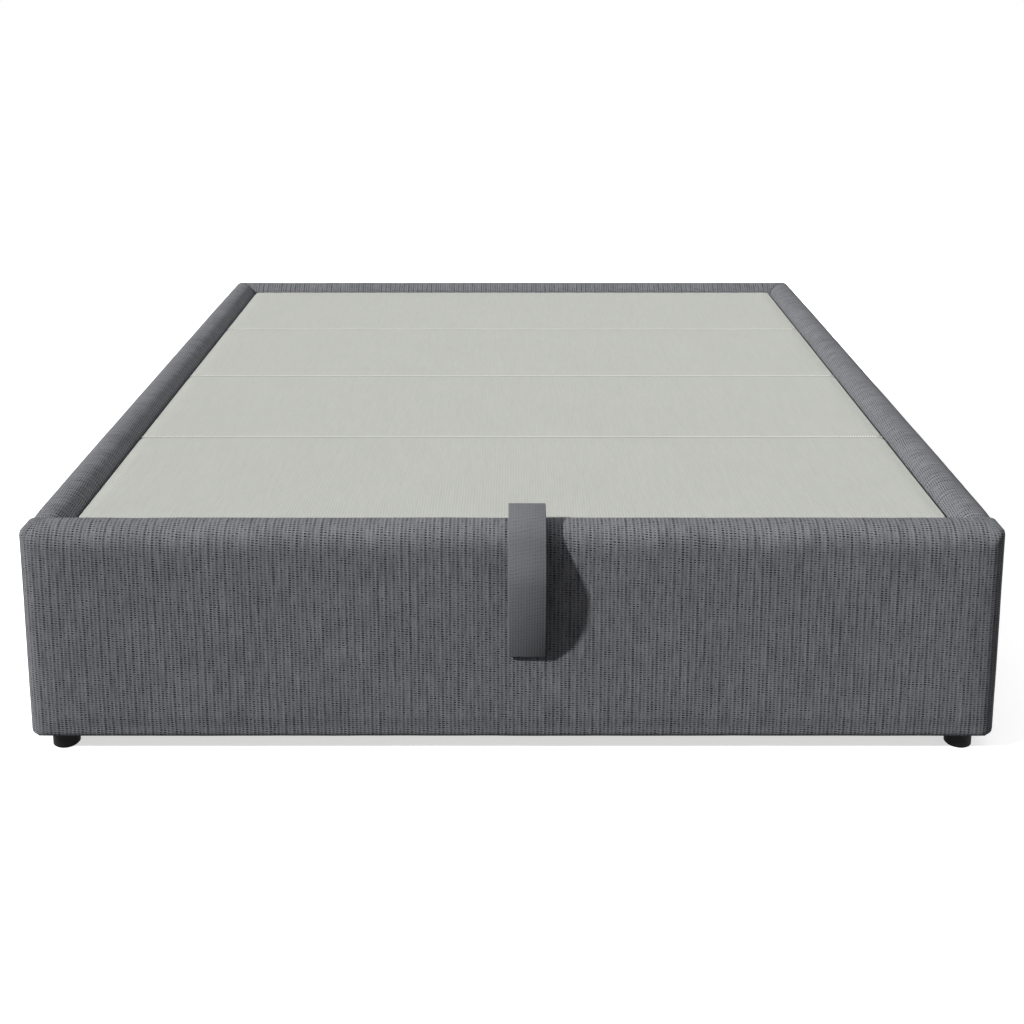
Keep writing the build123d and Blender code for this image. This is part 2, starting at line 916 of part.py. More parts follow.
def side_tube():
    start = Plane(origin=(tube_x, platform_foot_y, pivot_z), x_dir=(1, 0, 0), z_dir=(0, 1, 0))
    tube = hollow_tube(start, tube_width, platform_length - tube_head_inset)
    tube = drilled(tube, arm_seats(), hole_radius, tube_width)
    tube = drilled(tube, panel_seats(), screw_hole_radius, tube_height)
    pin_room = Plane(origin=(arm_inner_x, pivot_y, pivot_z), z_dir=(1, 0, 0))
    return bored(tube, pin_room, pin_head_radius + pin_head_clearance, tube_width / 2)


right_tube = side_tube()
keep(right_tube, "right_platform_tube")
keep(mirrored(right_tube), "left_platform_tube")

foot_tube = hollow_tube(across(platform_foot_y + tube_width / 2), tube_width, 2 * tube_inner_x)
head_tube_y = platform_head_y - tube_head_inset - tube_width / 2
keep(drilled(foot_tube, clamp_seats(), screw_hole_radius, clamp_screw_length), "platform_foot_tube")
keep(hollow_tube(across(head_tube_y), tube_width, 2 * tube_inner_x), "platform_head_tube")

with BuildPart() as cross_tubes:
    for number in range(1, panel_count):
        seam_y = platform_foot_y + number * panel_pitch
        add(hollow_tube(across(seam_y), cross_tube_width, 2 * tube_inner_x))
keep(cross_tubes.part, "platform_cross_tubes")


# Platform panels
def panel_board(start):
    """The board in a panel, from the seam where the panel starts."""
    edge = panel_seam / 2 + panel_fabric
    half = platform_width / 2 - panel_fabric
    corners = rectangle_corners((-half, half), (start + edge, start + panel_pitch - edge))
    return timber(corners, platform_bottom + panel_fabric, board_thickness)


def panel_cover(start, board):
    """The padded cover of a panel: thick on top, thin at the sides, open inside its hem."""
    middle = start + panel_pitch / 2
    depth = panel_pitch - panel_seam
    with BuildPart() as cover:
        with BuildSketch(Plane.XY.offset(platform_bottom)):
            with Locations((0, middle)):
                Rectangle(platform_width, depth)
        extrude(amount=panel_thickness)
        fillet(cover.edges().group_by(Axis.Z)[-1], panel_edge_radius)
        add(board, mode=Mode.SUBTRACT)
        with BuildSketch(Plane.XY.offset(platform_bottom)):
            with Locations((0, middle)):
                Rectangle(platform_width - 2 * panel_hem, depth - 2 * panel_hem)
        extrude(amount=panel_fabric, mode=Mode.SUBTRACT)
    return cover.part


all_panel_seats = with_other_side(panel_seats())
for number in range(panel_count):
    start = platform_foot_y + number * panel_pitch
    board = panel_board(start)
    seats = [seat for seat in all_panel_seats if start < seat.origin.Y < start + panel_pitch]
    cover = drilled(panel_cover(start, board), seats, screw_hole_radius, tube_height + panel_fabric)
    board = drilled(board, seats, screw_hole_radius, panel_screw_length + screw_clearance)
    keep(cover, f"platform_cover_{number + 1}")
    keep(board, f"platform_board_{number + 1}")


# Pull strap, clamped to the foot tube
strap_plane = Plane(
    origin=(strap_offset + strap_width / 2, front_y, crest),
    x_dir=(0, -1, 0),
    z_dir=(-1, 0, 0),
)
with BuildPart() as strap_band:
    with BuildSketch(strap_plane):
        add(strap_side)
    extrude(amount=strap_width)
keep(drilled(strap_band.part, clamp_seats(), screw_hole_radius, clamp_screw_length), "pull_strap")

with BuildPart() as clamp_bar:
    with BuildSketch(Plane.XZ.offset(2 * strap_thickness - platform_foot_y)):
        with Locations((strap_offset, crest - clamp_drop)):
            RectangleRounded(strap_width, clamp_height, clamp_height / 4)
    extrude(amount=clamp_thickness)
keep(drilled(clamp_bar.part, clamp_seats(), screw_hole_radius, clamp_thickness), "strap_clamp")

with BuildPart() as platform_screws:
    for seats, length in ((all_panel_seats, panel_screw_length), (clamp_seats(), clamp_screw_length)):
        add(fasteners(seats, screw_head_width, screw_head_height, screw_radius, length))
keep(platform_screws.part, "platform_screws")


# Rest stops: steel angles with rubber buffers under the side tubes
def rest_bracket():
    top = tube_bottom - buffer_height
    start = platform_foot_y + rest_run - rest_width / 2
    with BuildPart() as bracket:
        with BuildSketch(Plane.XZ.offset(-start - rest_width)):
            with BuildLine():
                Polyline(
                    (inner_half, top),
                    (inner_half - rest_reach, top),
                    (inner_half - rest_reach, top - bracket_thickness),
                    (inner_half - bracket_thickness, top - bracket_thickness),
                    (inner_half - bracket_thickness, top - rest_leg),
                    (inner_half, top - rest_leg),
                    close=True,
                )
            make_face()
        extrude(amount=rest_width)
        corner = (inner_half, start + rest_width / 2, top)
        bend = bracket.edges().filter_by(Axis.Y).sort_by_distance(corner)[1]
        fillet(bend, rest_bend_radius)
    return drilled(bracket.part, rest_seats(), hole_radius, bracket_thickness)


keep(both_sides(rest_bracket()), "rest_brackets")

with BuildPart() as rest_buffer:
    with BuildSketch(Plane.XY.offset(tube_bottom - buffer_height)):
        with Locations((tube_x, platform_foot_y + rest_run)):
            Circle(buffer_radius)
    extrude(amount=buffer_height)
keep(both_sides(rest_buffer.part), "rest_buffers")


# How the struts follow the platform: their angle and length when it is fully lifted
lift = math.radians(lift_angle)
lifted_y = pivot_y - arm_eye_run * math.cos(lift) - arm_eye_drop * math.sin(lift)
lifted_z = pivot_z + arm_eye_run * math.sin(lift) - arm_eye_drop * math.cos(lift)
lifted_length = math.hypot(lifted_y - stud_y, lifted_z - stud_z)
rest_direction = math.atan2(eye_z - stud_z, eye_y - stud_y)
lifted_direction = math.atan2(lifted_z - stud_z, lifted_y - stud_y)
print("pivot y, z", pivot_y, pivot_z)
print("stud x, y, z", strut_x, stud_y, stud_z)
print("strut direction y, z", math.cos(rest_direction), math.sin(rest_direction))
print("strut turns (degrees)", math.degrees(rest_direction - lifted_direction))
print("strut turn per platform turn", (rest_direction - lifted_direction) / lift)
print("strut stroke", lifted_length - strut_length, "of length", strut_length)
print("stroke in metres per radian", (lifted_length - strut_length) / lift / 1000)
print("wall places", inner_half, outer_half, front_y, well_foot_y, well_head_y, back_y)
print("platform places", platform_foot_y, platform_head_y, platform_bottom, platform_top, crest)
print("strap reach", strap_reach)
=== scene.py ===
# Ottoman storage bed: upholstery, finishes, floor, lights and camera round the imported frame
import math

import bpy
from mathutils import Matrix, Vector


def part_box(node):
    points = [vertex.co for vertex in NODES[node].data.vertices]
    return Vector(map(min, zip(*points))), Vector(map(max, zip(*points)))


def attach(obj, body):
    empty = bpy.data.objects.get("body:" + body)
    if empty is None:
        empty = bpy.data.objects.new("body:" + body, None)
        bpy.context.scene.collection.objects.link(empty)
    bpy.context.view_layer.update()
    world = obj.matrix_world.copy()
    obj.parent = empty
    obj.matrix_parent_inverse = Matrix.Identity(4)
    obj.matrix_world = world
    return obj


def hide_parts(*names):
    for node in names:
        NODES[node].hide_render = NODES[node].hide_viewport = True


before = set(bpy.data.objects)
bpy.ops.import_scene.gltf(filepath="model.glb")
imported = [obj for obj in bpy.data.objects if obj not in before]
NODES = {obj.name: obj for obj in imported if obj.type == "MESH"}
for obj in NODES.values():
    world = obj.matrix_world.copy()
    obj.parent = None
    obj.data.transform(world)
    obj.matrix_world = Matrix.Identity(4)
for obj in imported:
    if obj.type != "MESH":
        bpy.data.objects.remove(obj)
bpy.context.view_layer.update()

bl_info = {
    "name": "Ottoman storage bed",
    "version": (1, 0, 0),
    "blender": (4, 5, 0),
    "location": "View3D > Sidebar > Bed",
    "description": "Builds the upholstery and finishes of a lift-up storage bed",
    "category": "Object",
}

MM = 0.001
UV_NAME = "weave"


def linear(hex_colour):
    """The linear colour of an sRGB hex value."""
    parts = [int(hex_colour[place:place + 2], 16) / 255 for place in (0, 2, 4)]
    return tuple(p / 12.92 if p <= 0.04045 else ((p + 0.055) / 1.055) ** 2.4 for p in parts)


# Places read from the frame, in metres
FRONT_LOW, FRONT_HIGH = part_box("front_panel_cover")
RAIL_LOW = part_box("right_rail_cover")[0]
HEAD_LOW, HEAD_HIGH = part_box("head_rail_cover")
PANEL_LOW, PANEL_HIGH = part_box("platform_cover_1")
STRAP_LOW, STRAP_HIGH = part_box("pull_strap")
OUTER_HALF = FRONT_HIGH.x
INNER_HALF = RAIL_LOW.x
FRONT_Y = FRONT_LOW.y
WELL_FOOT_Y = FRONT_HIGH.y
WELL_HEAD_Y = HEAD_LOW.y
BACK_Y = HEAD_HIGH.y
WALL_BOTTOM = FRONT_LOW.z
CREST = FRONT_HIGH.z
ROLL_RADIUS = (OUTER_HALF - INNER_HALF) / 2
ROLL_Z = CREST - ROLL_RADIUS

# The blocks that trim a piece reach past it by this much
OVERRUN = 20 * MM
# A cover lies hard on its frame up to the first distance from an edge, and is free at the second
WALL_BOTTOM_TIGHT = (18 * MM, 45 * MM)
WALL_END_TIGHT = (30 * MM, 70 * MM)
PANEL_BOTTOM_TIGHT = (18 * MM, 22 * MM)
PANEL_EDGE_TIGHT = (4 * MM, 25 * MM)
# The padding's air pressure, and the number of steps in which it swells
PADDING_PRESSURE = 4
PADDING_FRAMES = 12
# Fabric over padding rises and falls by this much, in hills of this width
HILL_HEIGHT = 1.2 * MM
HILL_WIDTH = 120 * MM
# Half the gap at the mitred corners, and the softness of the cut edges there
MITRE_GAP = 0.3 * MM
MITRE_SOFTNESS = 1.5 * MM


class BedSizes(bpy.types.PropertyGroup):
    """Sizes of the soft pieces and the weaves."""

    rib_pitch: bpy.props.FloatProperty(
        name="Rib pitch", description="Distance between the ribs of the wall fabric",
        default=8 * MM, min=1 * MM, unit="LENGTH")
    pick_pitch: bpy.props.FloatProperty(
        name="Pick pitch", description="Distance between the weft threads of the wall fabric",
        default=4.9 * MM, min=0.5 * MM, unit="LENGTH")
    bottom_radius: bpy.props.FloatProperty(
        name="Lower edge", description="Radius of the lower outer edge of the walls",
        default=12 * MM, unit="LENGTH")
    shoulder_radius: bpy.props.FloatProperty(
        name="Shoulder", description="Radius of the front panel's upper corners",
        default=34 * MM, unit="LENGTH")
    front_edge_radius: bpy.props.FloatProperty(
        name="Front edge", description="Radius of the front panel's upright edges",
        default=38 * MM, unit="LENGTH")
    joint_radius: bpy.props.FloatProperty(
        name="Joint edge", description="Radius of the front panel's rear upright edges",
        default=8 * MM, unit="LENGTH")
    back_corner_radius: bpy.props.FloatProperty(
        name="Back corner", description="Radius of the outer corners at the head end",
        default=30 * MM, unit="LENGTH")
    wall_mesh: bpy.props.FloatProperty(
        name="Wall mesh", description="Size of the faces of a wall's fabric",
        default=5 * MM, min=3 * MM, unit="LENGTH")
    wall_puff: bpy.props.FloatProperty(
        name="Wall puff", description="The most that a wall's fabric may swell",
        default=2.5 * MM, unit="LENGTH")
    panel_mesh: bpy.props.FloatProperty(
        name="Panel mesh", description="Size of the faces of a platform panel",
        default=5 * MM, min=3 * MM, unit="LENGTH")
    panel_puff: bpy.props.FloatProperty(
        name="Panel puff", description="The most that a platform panel may swell",
        default=1.5 * MM, unit="LENGTH")
    panel_hem: bpy.props.FloatProperty(
        name="Panel hem", description="Width of the hem turned under a platform panel",
        default=45 * MM, unit="LENGTH")
    strap_thickness: bpy.props.FloatProperty(
        name="Strap thickness", description="Thickness of the pull strap",
        default=3 * MM, unit="LENGTH")
    stitch_pitch: bpy.props.FloatProperty(
        name="Stitch pitch", description="Distance between the stitches along a seam",
        default=6 * MM, unit="LENGTH")


class BedColours(bpy.types.PropertyGroup):
    """Colours of the fabrics and finishes."""

    wall_yarn: bpy.props.FloatVectorProperty(
        name="Wall yarn", description="Raised yarn of the wall fabric",
        subtype="COLOR", default=linear("7f8084"))
    wall_gap: bpy.props.FloatVectorProperty(
        name="Wall gaps", description="Shaded gaps between the wall fabric's yarns",
        subtype="COLOR", default=linear("141517"))
    strap_yarn: bpy.props.FloatVectorProperty(
        name="Strap yarn", description="Yarn of the pull strap",
        subtype="COLOR", default=linear("6d6e72"))
    strap_gap: bpy.props.FloatVectorProperty(
        name="Strap gaps", description="Shaded gaps between the strap's yarns",
        subtype="COLOR", default=linear("48494c"))
    platform_yarn: bpy.props.FloatVectorProperty(
        name="Platform yarn", description="Pale yarn of the platform fabric",
        subtype="COLOR", default=linear("b3b4af"))
    # The gaps' darker colour is painted shade, as in the other weaves
    platform_gap: bpy.props.FloatVectorProperty(
        name="Platform gaps", description="Gaps between the platform fabric's yarns",
        subtype="COLOR", default=linear("9d9e98"))
    thread: bpy.props.FloatVectorProperty(
        name="Seam thread", description="Thread of the platform's seams",
        subtype="COLOR", default=linear("f0f0ec"))
    timber: bpy.props.FloatVectorProperty(
        name="Timber", description="Planed softwood",
        subtype="COLOR", default=linear("c9a878"))
    board: bpy.props.FloatVectorProperty(
        name="Board", description="Birch plywood",
        subtype="COLOR", default=linear("c8b08a"))
    powder_coat: bpy.props.FloatVectorProperty(
        name="Powder coat", description="Black powder coat of the steel frame",
        subtype="COLOR", default=linear("1c1c1e"))
    foot: bpy.props.FloatVectorProperty(
        name="Feet", description="Moulded plastic of the feet",
        subtype="COLOR", default=linear("0c0c0c"))
    floor: bpy.props.FloatVectorProperty(
        name="Floor", description="Plain pale floor",
        subtype="COLOR", default=linear("f4f4f4"))


def sizes():
    return bpy.context.scene.bed_sizes


def colours():
    return bpy.context.scene.bed_colours


# Tools for modelling

def start_piece(operator, **settings):
    """A new primitive with nothing else selected, its place moved into its mesh."""
    bpy.ops.object.select_all(action="DESELECT")
    operator(**settings)
    bpy.ops.object.transform_apply(location=True, rotation=True, scale=True)
    return bpy.context.object


def block(name, low, high):
    """A cuboid between two corners, to be shaped further."""
    low, high = Vector(low), Vector(high)
    piece = start_piece(
        bpy.ops.mesh.primitive_cube_add, size=1, location=(low + high) / 2, scale=high - low)
    piece.name = name
    return piece


def only(piece):
    """Selects one piece alone and makes it active."""
    bpy.ops.object.select_all(action="DESELECT")
    piece.select_set(True)
    bpy.context.view_layer.objects.active = piece


def pick(piece, test):
    """Selects the edges that pass a test, and goes into edit mode."""
    only(piece)
    mesh = piece.data
    for group in (mesh.vertices, mesh.edges, mesh.polygons):
        group.foreach_set("select", [False] * len(group))
    bpy.context.scene.tool_settings.mesh_select_mode = (False, True, False)
    for edge in mesh.edges:
        edge.select = test(edge)
    bpy.ops.object.mode_set(mode="EDIT")


def pick_all(piece):
    """Selects the whole piece in edit mode."""
    only(piece)
    bpy.ops.object.mode_set(mode="EDIT")
    bpy.context.scene.tool_settings.mesh_select_mode = (True, False, False)
    bpy.ops.mesh.select_all(action="SELECT")


def edge_middle(mesh, edge):
    return (mesh.vertices[edge.vertices[0]].co + mesh.vertices[edge.vertices[1]].co) / 2


def edge_run(mesh, edge):
    return mesh.vertices[edge.vertices[0]].co - mesh.vertices[edge.vertices[1]].co


def round_edges(piece, axis, places, radius, segments):
    """Rounds the block's edges that run along an axis through the given places."""
    mesh = piece.data
    others = [number for number in range(3) if number != axis]

    def wanted(edge):
        run = edge_run(mesh, edge)
        if any(abs(run[other]) > 1e-5 for other in others) or abs(run[axis]) < 1e-5:
            return False
        middle = edge_middle(mesh, edge)
        return any(
            all(abs(middle[other] - place[spot]) < 1e-4 for spot, other in enumerate(others))
            for place in places)

    pick(piece, wanted)
    bpy.ops.mesh.bevel(offset=radius, segments=segments, affect="EDGES", clamp_overlap=False)
    bpy.ops.mesh.select_all(action="SELECT")
    bpy.ops.mesh.remove_doubles(threshold=0.1 * MM)
    bpy.ops.object.mode_set(mode="OBJECT")


def applied(piece, kind, **settings):
    """Adds a modifier with its settings and applies it."""
    only(piece)
    modifier = piece.modifiers.new(kind.lower(), kind)
    for name, value in settings.items():
        setattr(modifier, name, value)
    bpy.ops.object.modifier_apply(modifier=modifier.name)


def common(piece, *others):
    """Keeps what the piece shares with the other blocks, which are then removed."""
    for other in others:
        applied(piece, "BOOLEAN", operation="INTERSECT", solver="EXACT", object=other)
        bpy.data.objects.remove(other, do_unlink=True)


def padding(piece, size, cap, tight):
    """A net of faces over the piece, swelled like padding, then made twice as fine.

    Where tight is 1 the cover is pulled hard over its frame and lies on the piece's first form."""
    only(piece)
    form = piece.copy()
    form.data = piece.data.copy()
    bpy.context.collection.objects.link(form)
    applied(piece, "REMESH", mode="VOXEL", voxel_size=2 * size, use_smooth_shade=True)
    applied(piece, "SMOOTH", factor=0.5, iterations=2)
    puffed(piece, cap)
    applied(piece, "SUBSURF", levels=1, render_levels=1)
    group = piece.vertex_groups.new(name="tight")
    for vertex in piece.data.vertices:
        weight = min(1.0, max(0.0, tight(vertex.co)))
        if weight > 0:
            group.add([vertex.index], weight, "REPLACE")
    applied(piece, "SHRINKWRAP", target=form, wrap_method="NEAREST_SURFACEPOINT",
            vertex_group="tight")
    piece.vertex_groups.clear()
    bpy.data.objects.remove(form, do_unlink=True)


def near(distance, full, none):
    """1 up to the full distance, and less and less up to where it is none."""
    return (none - distance) / (none - full)


def puffed(piece, cap):
    """Swells the piece like padding under a tight cover: cloth with air inside, held by a cap."""
    only(piece)
    flat = [vertex.co.copy() for vertex in piece.data.vertices]
    cloth = piece.modifiers.new("padding", "CLOTH")
    cloth.settings.use_pressure = True
    cloth.settings.uniform_pressure_force = PADDING_PRESSURE
    cloth.settings.effector_weights.gravity = 0
    for step in range(1, PADDING_FRAMES + 1):
        bpy.context.scene.frame_set(step)
    bpy.ops.object.modifier_apply(modifier=cloth.name)
    for vertex, start in zip(piece.data.vertices, flat):
        move = vertex.co - start
        # The frame inside holds the crest up, so the cover never sinks
        move.z = max(0.0, move.z)
        if move.length > cap:
            move *= cap / move.length
        vertex.co = start + move
    bpy.context.scene.frame_set(1)


def uneven(piece):
    """The slight hills and hollows of fabric drawn over padding."""
    name = "padding clouds"
    clouds = bpy.data.textures.get(name) or bpy.data.textures.new(name, "CLOUDS")
    clouds.noise_scale = HILL_WIDTH
    applied(piece, "DISPLACE", texture=clouds, texture_coords="LOCAL", strength=HILL_HEIGHT,
            mid_level=0.5)


def cut(piece, place, normal, soften=0.0):
    """Removes what lies on the normal's side of a plane and closes the piece there."""
    pick_all(piece)
    bpy.ops.mesh.bisect(plane_co=place, plane_no=normal, use_fill=True, clear_outer=True)
    if soften:
        bpy.ops.mesh.bevel(offset=soften, segments=2, affect="EDGES")
    bpy.ops.object.mode_set(mode="OBJECT")


def smooth(piece, degrees=35):
    only(piece)
    bpy.ops.object.shade_smooth_by_angle(angle=math.radians(degrees))


def map_weave(piece, place):
    """Lays the fabric's own map: place gives the threads' two lengths at a point."""
    layer = piece.data.uv_layers.new(name=UV_NAME)
    spots = [place(vertex.co) for vertex in piece.data.vertices]
    for loop in piece.data.loops:
        layer.data[loop.index].uv = spots[loop.vertex_index]


def covers(piece, name, body, material, nodes):
    """Names a padded piece, and says what it rides on, replaces and is finished in."""
    piece.name = name
    piece.data.name = name
    piece.data.materials.clear()
    piece.data.materials.append(material)
    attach(piece, body)
    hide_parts(*nodes)


# Materials

def add_node(tree, kind, inputs=None, **settings):
    """Adds a node with its settings; each input is a value or another node's output."""
    node = tree.nodes.new("ShaderNode" + kind)
    for name, value in settings.items():
        setattr(node, name, value)
    for name, value in (inputs or {}).items():
        if isinstance(value, bpy.types.NodeSocket):
            tree.links.new(value, node.inputs[name])
        else:
            node.inputs[name].default_value = value
    return node


def start_material(name):
    """An empty material with its output, and the shader that the surface goes into."""
    material = bpy.data.materials.new(name)
    material.use_nodes = True
    tree = material.node_tree
    tree.nodes.clear()
    output = add_node(tree, "OutputMaterial")
    shader = add_node(tree, "BsdfPrincipled")
    tree.links.new(shader.outputs[0], output.inputs["Surface"])
    return material, tree, shader


def set_shader(tree, shader, **inputs):
    """Sets the shader's sockets, named with underscores, or links them."""
    for name, value in inputs.items():
        socket = shader.inputs[name.replace("_", " ")]
        if isinstance(value, bpy.types.NodeSocket):
            tree.links.new(value, socket)
        else:
            socket.default_value = value


def opaque(colour):
    return (*colour, 1.0)


def woven(name, yarn, gap, rib, pick_pitch, source, depth, contrast, uneven_pairs, cloud):
    """A woven fabric: raised ribs with shaded gaps between them, crossed by finer picks.

    Polyester upholstery cloth, woven and brushed: dull, with a faint sheen at grazing angles.
    """
    material, tree, shader = start_material(name)
    if source == "map":
        place = add_node(tree, "UVMap", uv_map=UV_NAME).outputs[0]
    else:
        place = add_node(tree, "TexCoord").outputs["Object"]
    # The threads wander a little, over lengths of about 45 mm
    drift = add_node(tree, "TexNoise", {"Vector": place, "Scale": 22.0, "Detail": 2.0})
    shift = add_node(tree, "VectorMath", {0: drift.outputs["Color"], 1: (0.5, 0.5, 0.5)},
                     operation="SUBTRACT")
    wander = add_node(tree, "VectorMath", {0: shift.outputs[0],
                                           1: (rib * 0.06, pick_pitch, 0.0)},
                      operation="MULTIPLY")
    moved = add_node(tree, "VectorMath", {0: place, 1: wander.outputs[0]}, operation="ADD")
    axes = add_node(tree, "SeparateXYZ", {0: moved.outputs[0]})
    column = add_node(tree, "Math", {0: axes.outputs[0], 1: 1 / rib}, operation="MULTIPLY")
    turn = add_node(tree, "Math", {0: column.outputs[0], 1: math.tau}, operation="MULTIPLY")
    wave = add_node(tree, "Math", {0: turn.outputs[0]}, operation="COSINE")
    ridge = add_node(tree, "Math", {0: wave.outputs[0], 1: 0.5, 2: 0.5}, operation="MULTIPLY_ADD")
    number = add_node(tree, "Math", {0: column.outputs[0]}, operation="FLOOR")
    second = add_node(tree, "Math", {0: number.outputs[0], 1: 2.0}, operation="FLOORED_MODULO")
    row = add_node(tree, "Math", {0: axes.outputs[1], 1: 1 / pick_pitch}, operation="MULTIPLY")
    # The picks step down by about an eighth of their pitch from rib to rib
    staggered = add_node(tree, "Math", {0: number.outputs[0], 1: 0.12, 2: row.outputs[0]},
                         operation="MULTIPLY_ADD")
    line = add_node(tree, "Math", {0: staggered.outputs[0]}, operation="FLOOR")
    phase = add_node(tree, "Math", {0: staggered.outputs[0], 1: math.tau}, operation="MULTIPLY")
    beat = add_node(tree, "Math", {0: phase.outputs[0]}, operation="COSINE")
    pick_height = add_node(tree, "Math", {0: beat.outputs[0], 1: -0.5, 2: 0.5},
                           operation="MULTIPLY_ADD")
    valley = add_node(tree, "Math", {0: 1.0, 1: ridge.outputs[0]}, operation="SUBTRACT")
    wide = add_node(tree, "MapRange", {0: valley.outputs[0], 1: 0.1, 2: 0.55, 3: 0.15})
    hole = add_node(tree, "Math", {0: wide.outputs[0], 1: pick_height.outputs[0]},
                    operation="MULTIPLY")
    dot = add_node(tree, "MapRange", {0: hole.outputs[0], 1: 0.2, 2: 0.8})
    crown = add_node(tree, "Math", {0: 1.0, 1: pick_height.outputs[0]}, operation="SUBTRACT")
    # No two gaps are alike: each one's depth, and the shade painted into it, is its own
    cell = add_node(tree, "CombineXYZ", {0: number.outputs[0], 1: line.outputs[0]})
    chance = add_node(tree, "TexWhiteNoise", {"Vector": cell.outputs[0]},
                      noise_dimensions="2D")
    own = add_node(tree, "MapRange", {0: chance.outputs["Value"], 3: contrast * 0.3,
                                      4: contrast * 1.0})
    # The gaps open and close in patches of about 16 mm, and the yarn between them stands up; the
    # shade painted in the gaps follows this, and is taken off the raised yarn
    patchy = add_node(tree, "TexNoise", {"Vector": place, "Scale": 60.0, "Detail": 1.0})
    open_part = add_node(tree, "MapRange", {0: patchy.outputs[0], 1: 0.35, 2: 0.65,
                                            3: 0.25, 4: 1.2})
    opened = add_node(tree, "Math", {0: own.outputs[0], 1: open_part.outputs[0]},
                      operation="MULTIPLY")
    raised = add_node(tree, "Math", {0: crown.outputs[0], 1: -0.35, 2: dot.outputs[0]},
                      operation="MULTIPLY_ADD")
    dotted = add_node(tree, "Math", {0: raised.outputs[0], 1: opened.outputs[0]},
                      operation="MULTIPLY")
    # Every second gap is shallower, with less shade painted into it, as two ends are woven
    # together as one
    pair = add_node(tree, "Math", {0: second.outputs[0], 1: -uneven_pairs, 2: 0.2 * contrast},
                    operation="MULTIPLY_ADD")
    stripe = add_node(tree, "Math", {0: valley.outputs[0], 1: pair.outputs[0]},
                      operation="MULTIPLY")
    shade = add_node(tree, "Math", {0: dotted.outputs[0], 1: stripe.outputs[0]},
                     operation="ADD")
    # Yarns differ a little in tone along their length, over about 60 mm
    slub_place = add_node(tree, "VectorMath", {0: moved.outputs[0], 1: (1 / rib, 16.0, 1.0)},
                          operation="MULTIPLY")
    slub = add_node(tree, "TexNoise", {"Vector": slub_place.outputs[0], "Scale": 1.0,
                                       "Detail": 1.0})
    # Brushed fibre ends make a fuzz of about 2.5 mm
    fuzz = add_node(tree, "TexNoise", {"Vector": place, "Scale": 400.0, "Detail": 1.0})
    both = add_node(tree, "Math", {0: slub.outputs[0], 1: fuzz.outputs[0]}, operation="ADD")
    slubbed = add_node(tree, "Math", {0: both.outputs[0], 1: 0.7 * contrast, 2: shade.outputs[0]},
                       operation="MULTIPLY_ADD")
    level = add_node(tree, "Math", {0: slubbed.outputs[0], 1: 0.42 * contrast},
                     operation="SUBTRACT", use_clamp=True)
    # The darker gap colour is painted shade: it stands for the shade in the gaps between the yarns
    cloth = add_node(tree, "Mix", {"Factor": level.outputs[0], 6: opaque(yarn), 7: opaque(gap)},
                     data_type="RGBA")
    # The dye lies a little unevenly, in patches of about 140 mm
    tone = add_node(tree, "TexNoise", {"Vector": place, "Scale": 7.0, "Detail": 2.0})
    patch = add_node(tree, "MapRange", {0: tone.outputs[0], 1: 0.3, 2: 0.7,
                                        3: 1 - cloud, 4: 1 + cloud})
    colour = add_node(tree, "VectorMath", {0: cloth.outputs[2], "Scale": patch.outputs[0]},
                      operation="SCALE")
    height = add_node(tree, "Math", {0: pick_height.outputs[0], 1: 0.5, 2: ridge.outputs[0]},
                      operation="MULTIPLY_ADD")
    bump = add_node(tree, "Bump", {"Height": height.outputs[0], "Strength": 0.5,
                                   "Distance": depth})
    set_shader(tree, shader, Base_Color=colour.outputs[0], Roughness=0.92,
               Specular_IOR_Level=0.05, Sheen_Weight=0.03, Sheen_Roughness=0.5,
               Normal=bump.outputs[0])
    return material


def softwood(name, colour, ring, along):
    """Planed pine: pale, with darker late wood drawn out along the grain."""
    material, tree, shader = start_material(name)
    place = add_node(tree, "TexCoord").outputs["Object"]
    stretched = add_node(tree, "Mapping", {"Vector": place, "Scale": along})
    grain = add_node(tree, "TexNoise", {"Vector": stretched.outputs[0], "Scale": 1 / ring,
                                        "Detail": 4.0, "Distortion": 0.6})
    streak = add_node(tree, "TexNoise", {"Vector": stretched.outputs[0], "Scale": 5 / ring,
                                         "Detail": 2.0})
    both = add_node(tree, "Math", {0: grain.outputs[0], 1: streak.outputs[0]},
                    operation="MULTIPLY")
    ramp = add_node(tree, "MapRange", {0: both.outputs[0], 1: 0.15, 2: 0.4, 3: 1.0, 4: 0.68})
    shade = add_node(tree, "VectorMath", {0: colour, "Scale": ramp.outputs[0]},
                     operation="SCALE")
    bump = add_node(tree, "Bump", {"Height": streak.outputs[0], "Strength": 0.2,
                                   "Distance": 0.2 * MM})
    set_shader(tree, shader, Base_Color=shade.outputs[0], Roughness=0.62, IOR=1.5,
               Normal=bump.outputs[0])
    return material


def coated_steel(name, colour):
    """Powder-coated steel: a satin black skin with fine orange peel of about 1 mm."""
    material, tree, shader = start_material(name)
    place = add_node(tree, "TexCoord").outputs["Object"]
    peel = add_node(tree, "TexNoise", {"Vector": place, "Scale": 1000.0, "Detail": 1.0})
    dust = add_node(tree, "TexNoise", {"Vector": place, "Scale": 12.0, "Detail": 3.0})
    rough = add_node(tree, "MapRange", {0: dust.outputs[0], 1: 0.3, 2: 0.7, 3: 0.4, 4: 0.55})
    bump = add_node(tree, "Bump", {"Height": peel.outputs[0], "Strength": 0.25,
                                   "Distance": 0.1 * MM})
    set_shader(tree, shader, Base_Color=opaque(colour), Roughness=rough.outputs[0], IOR=1.5,
               Normal=bump.outputs[0])
    return material


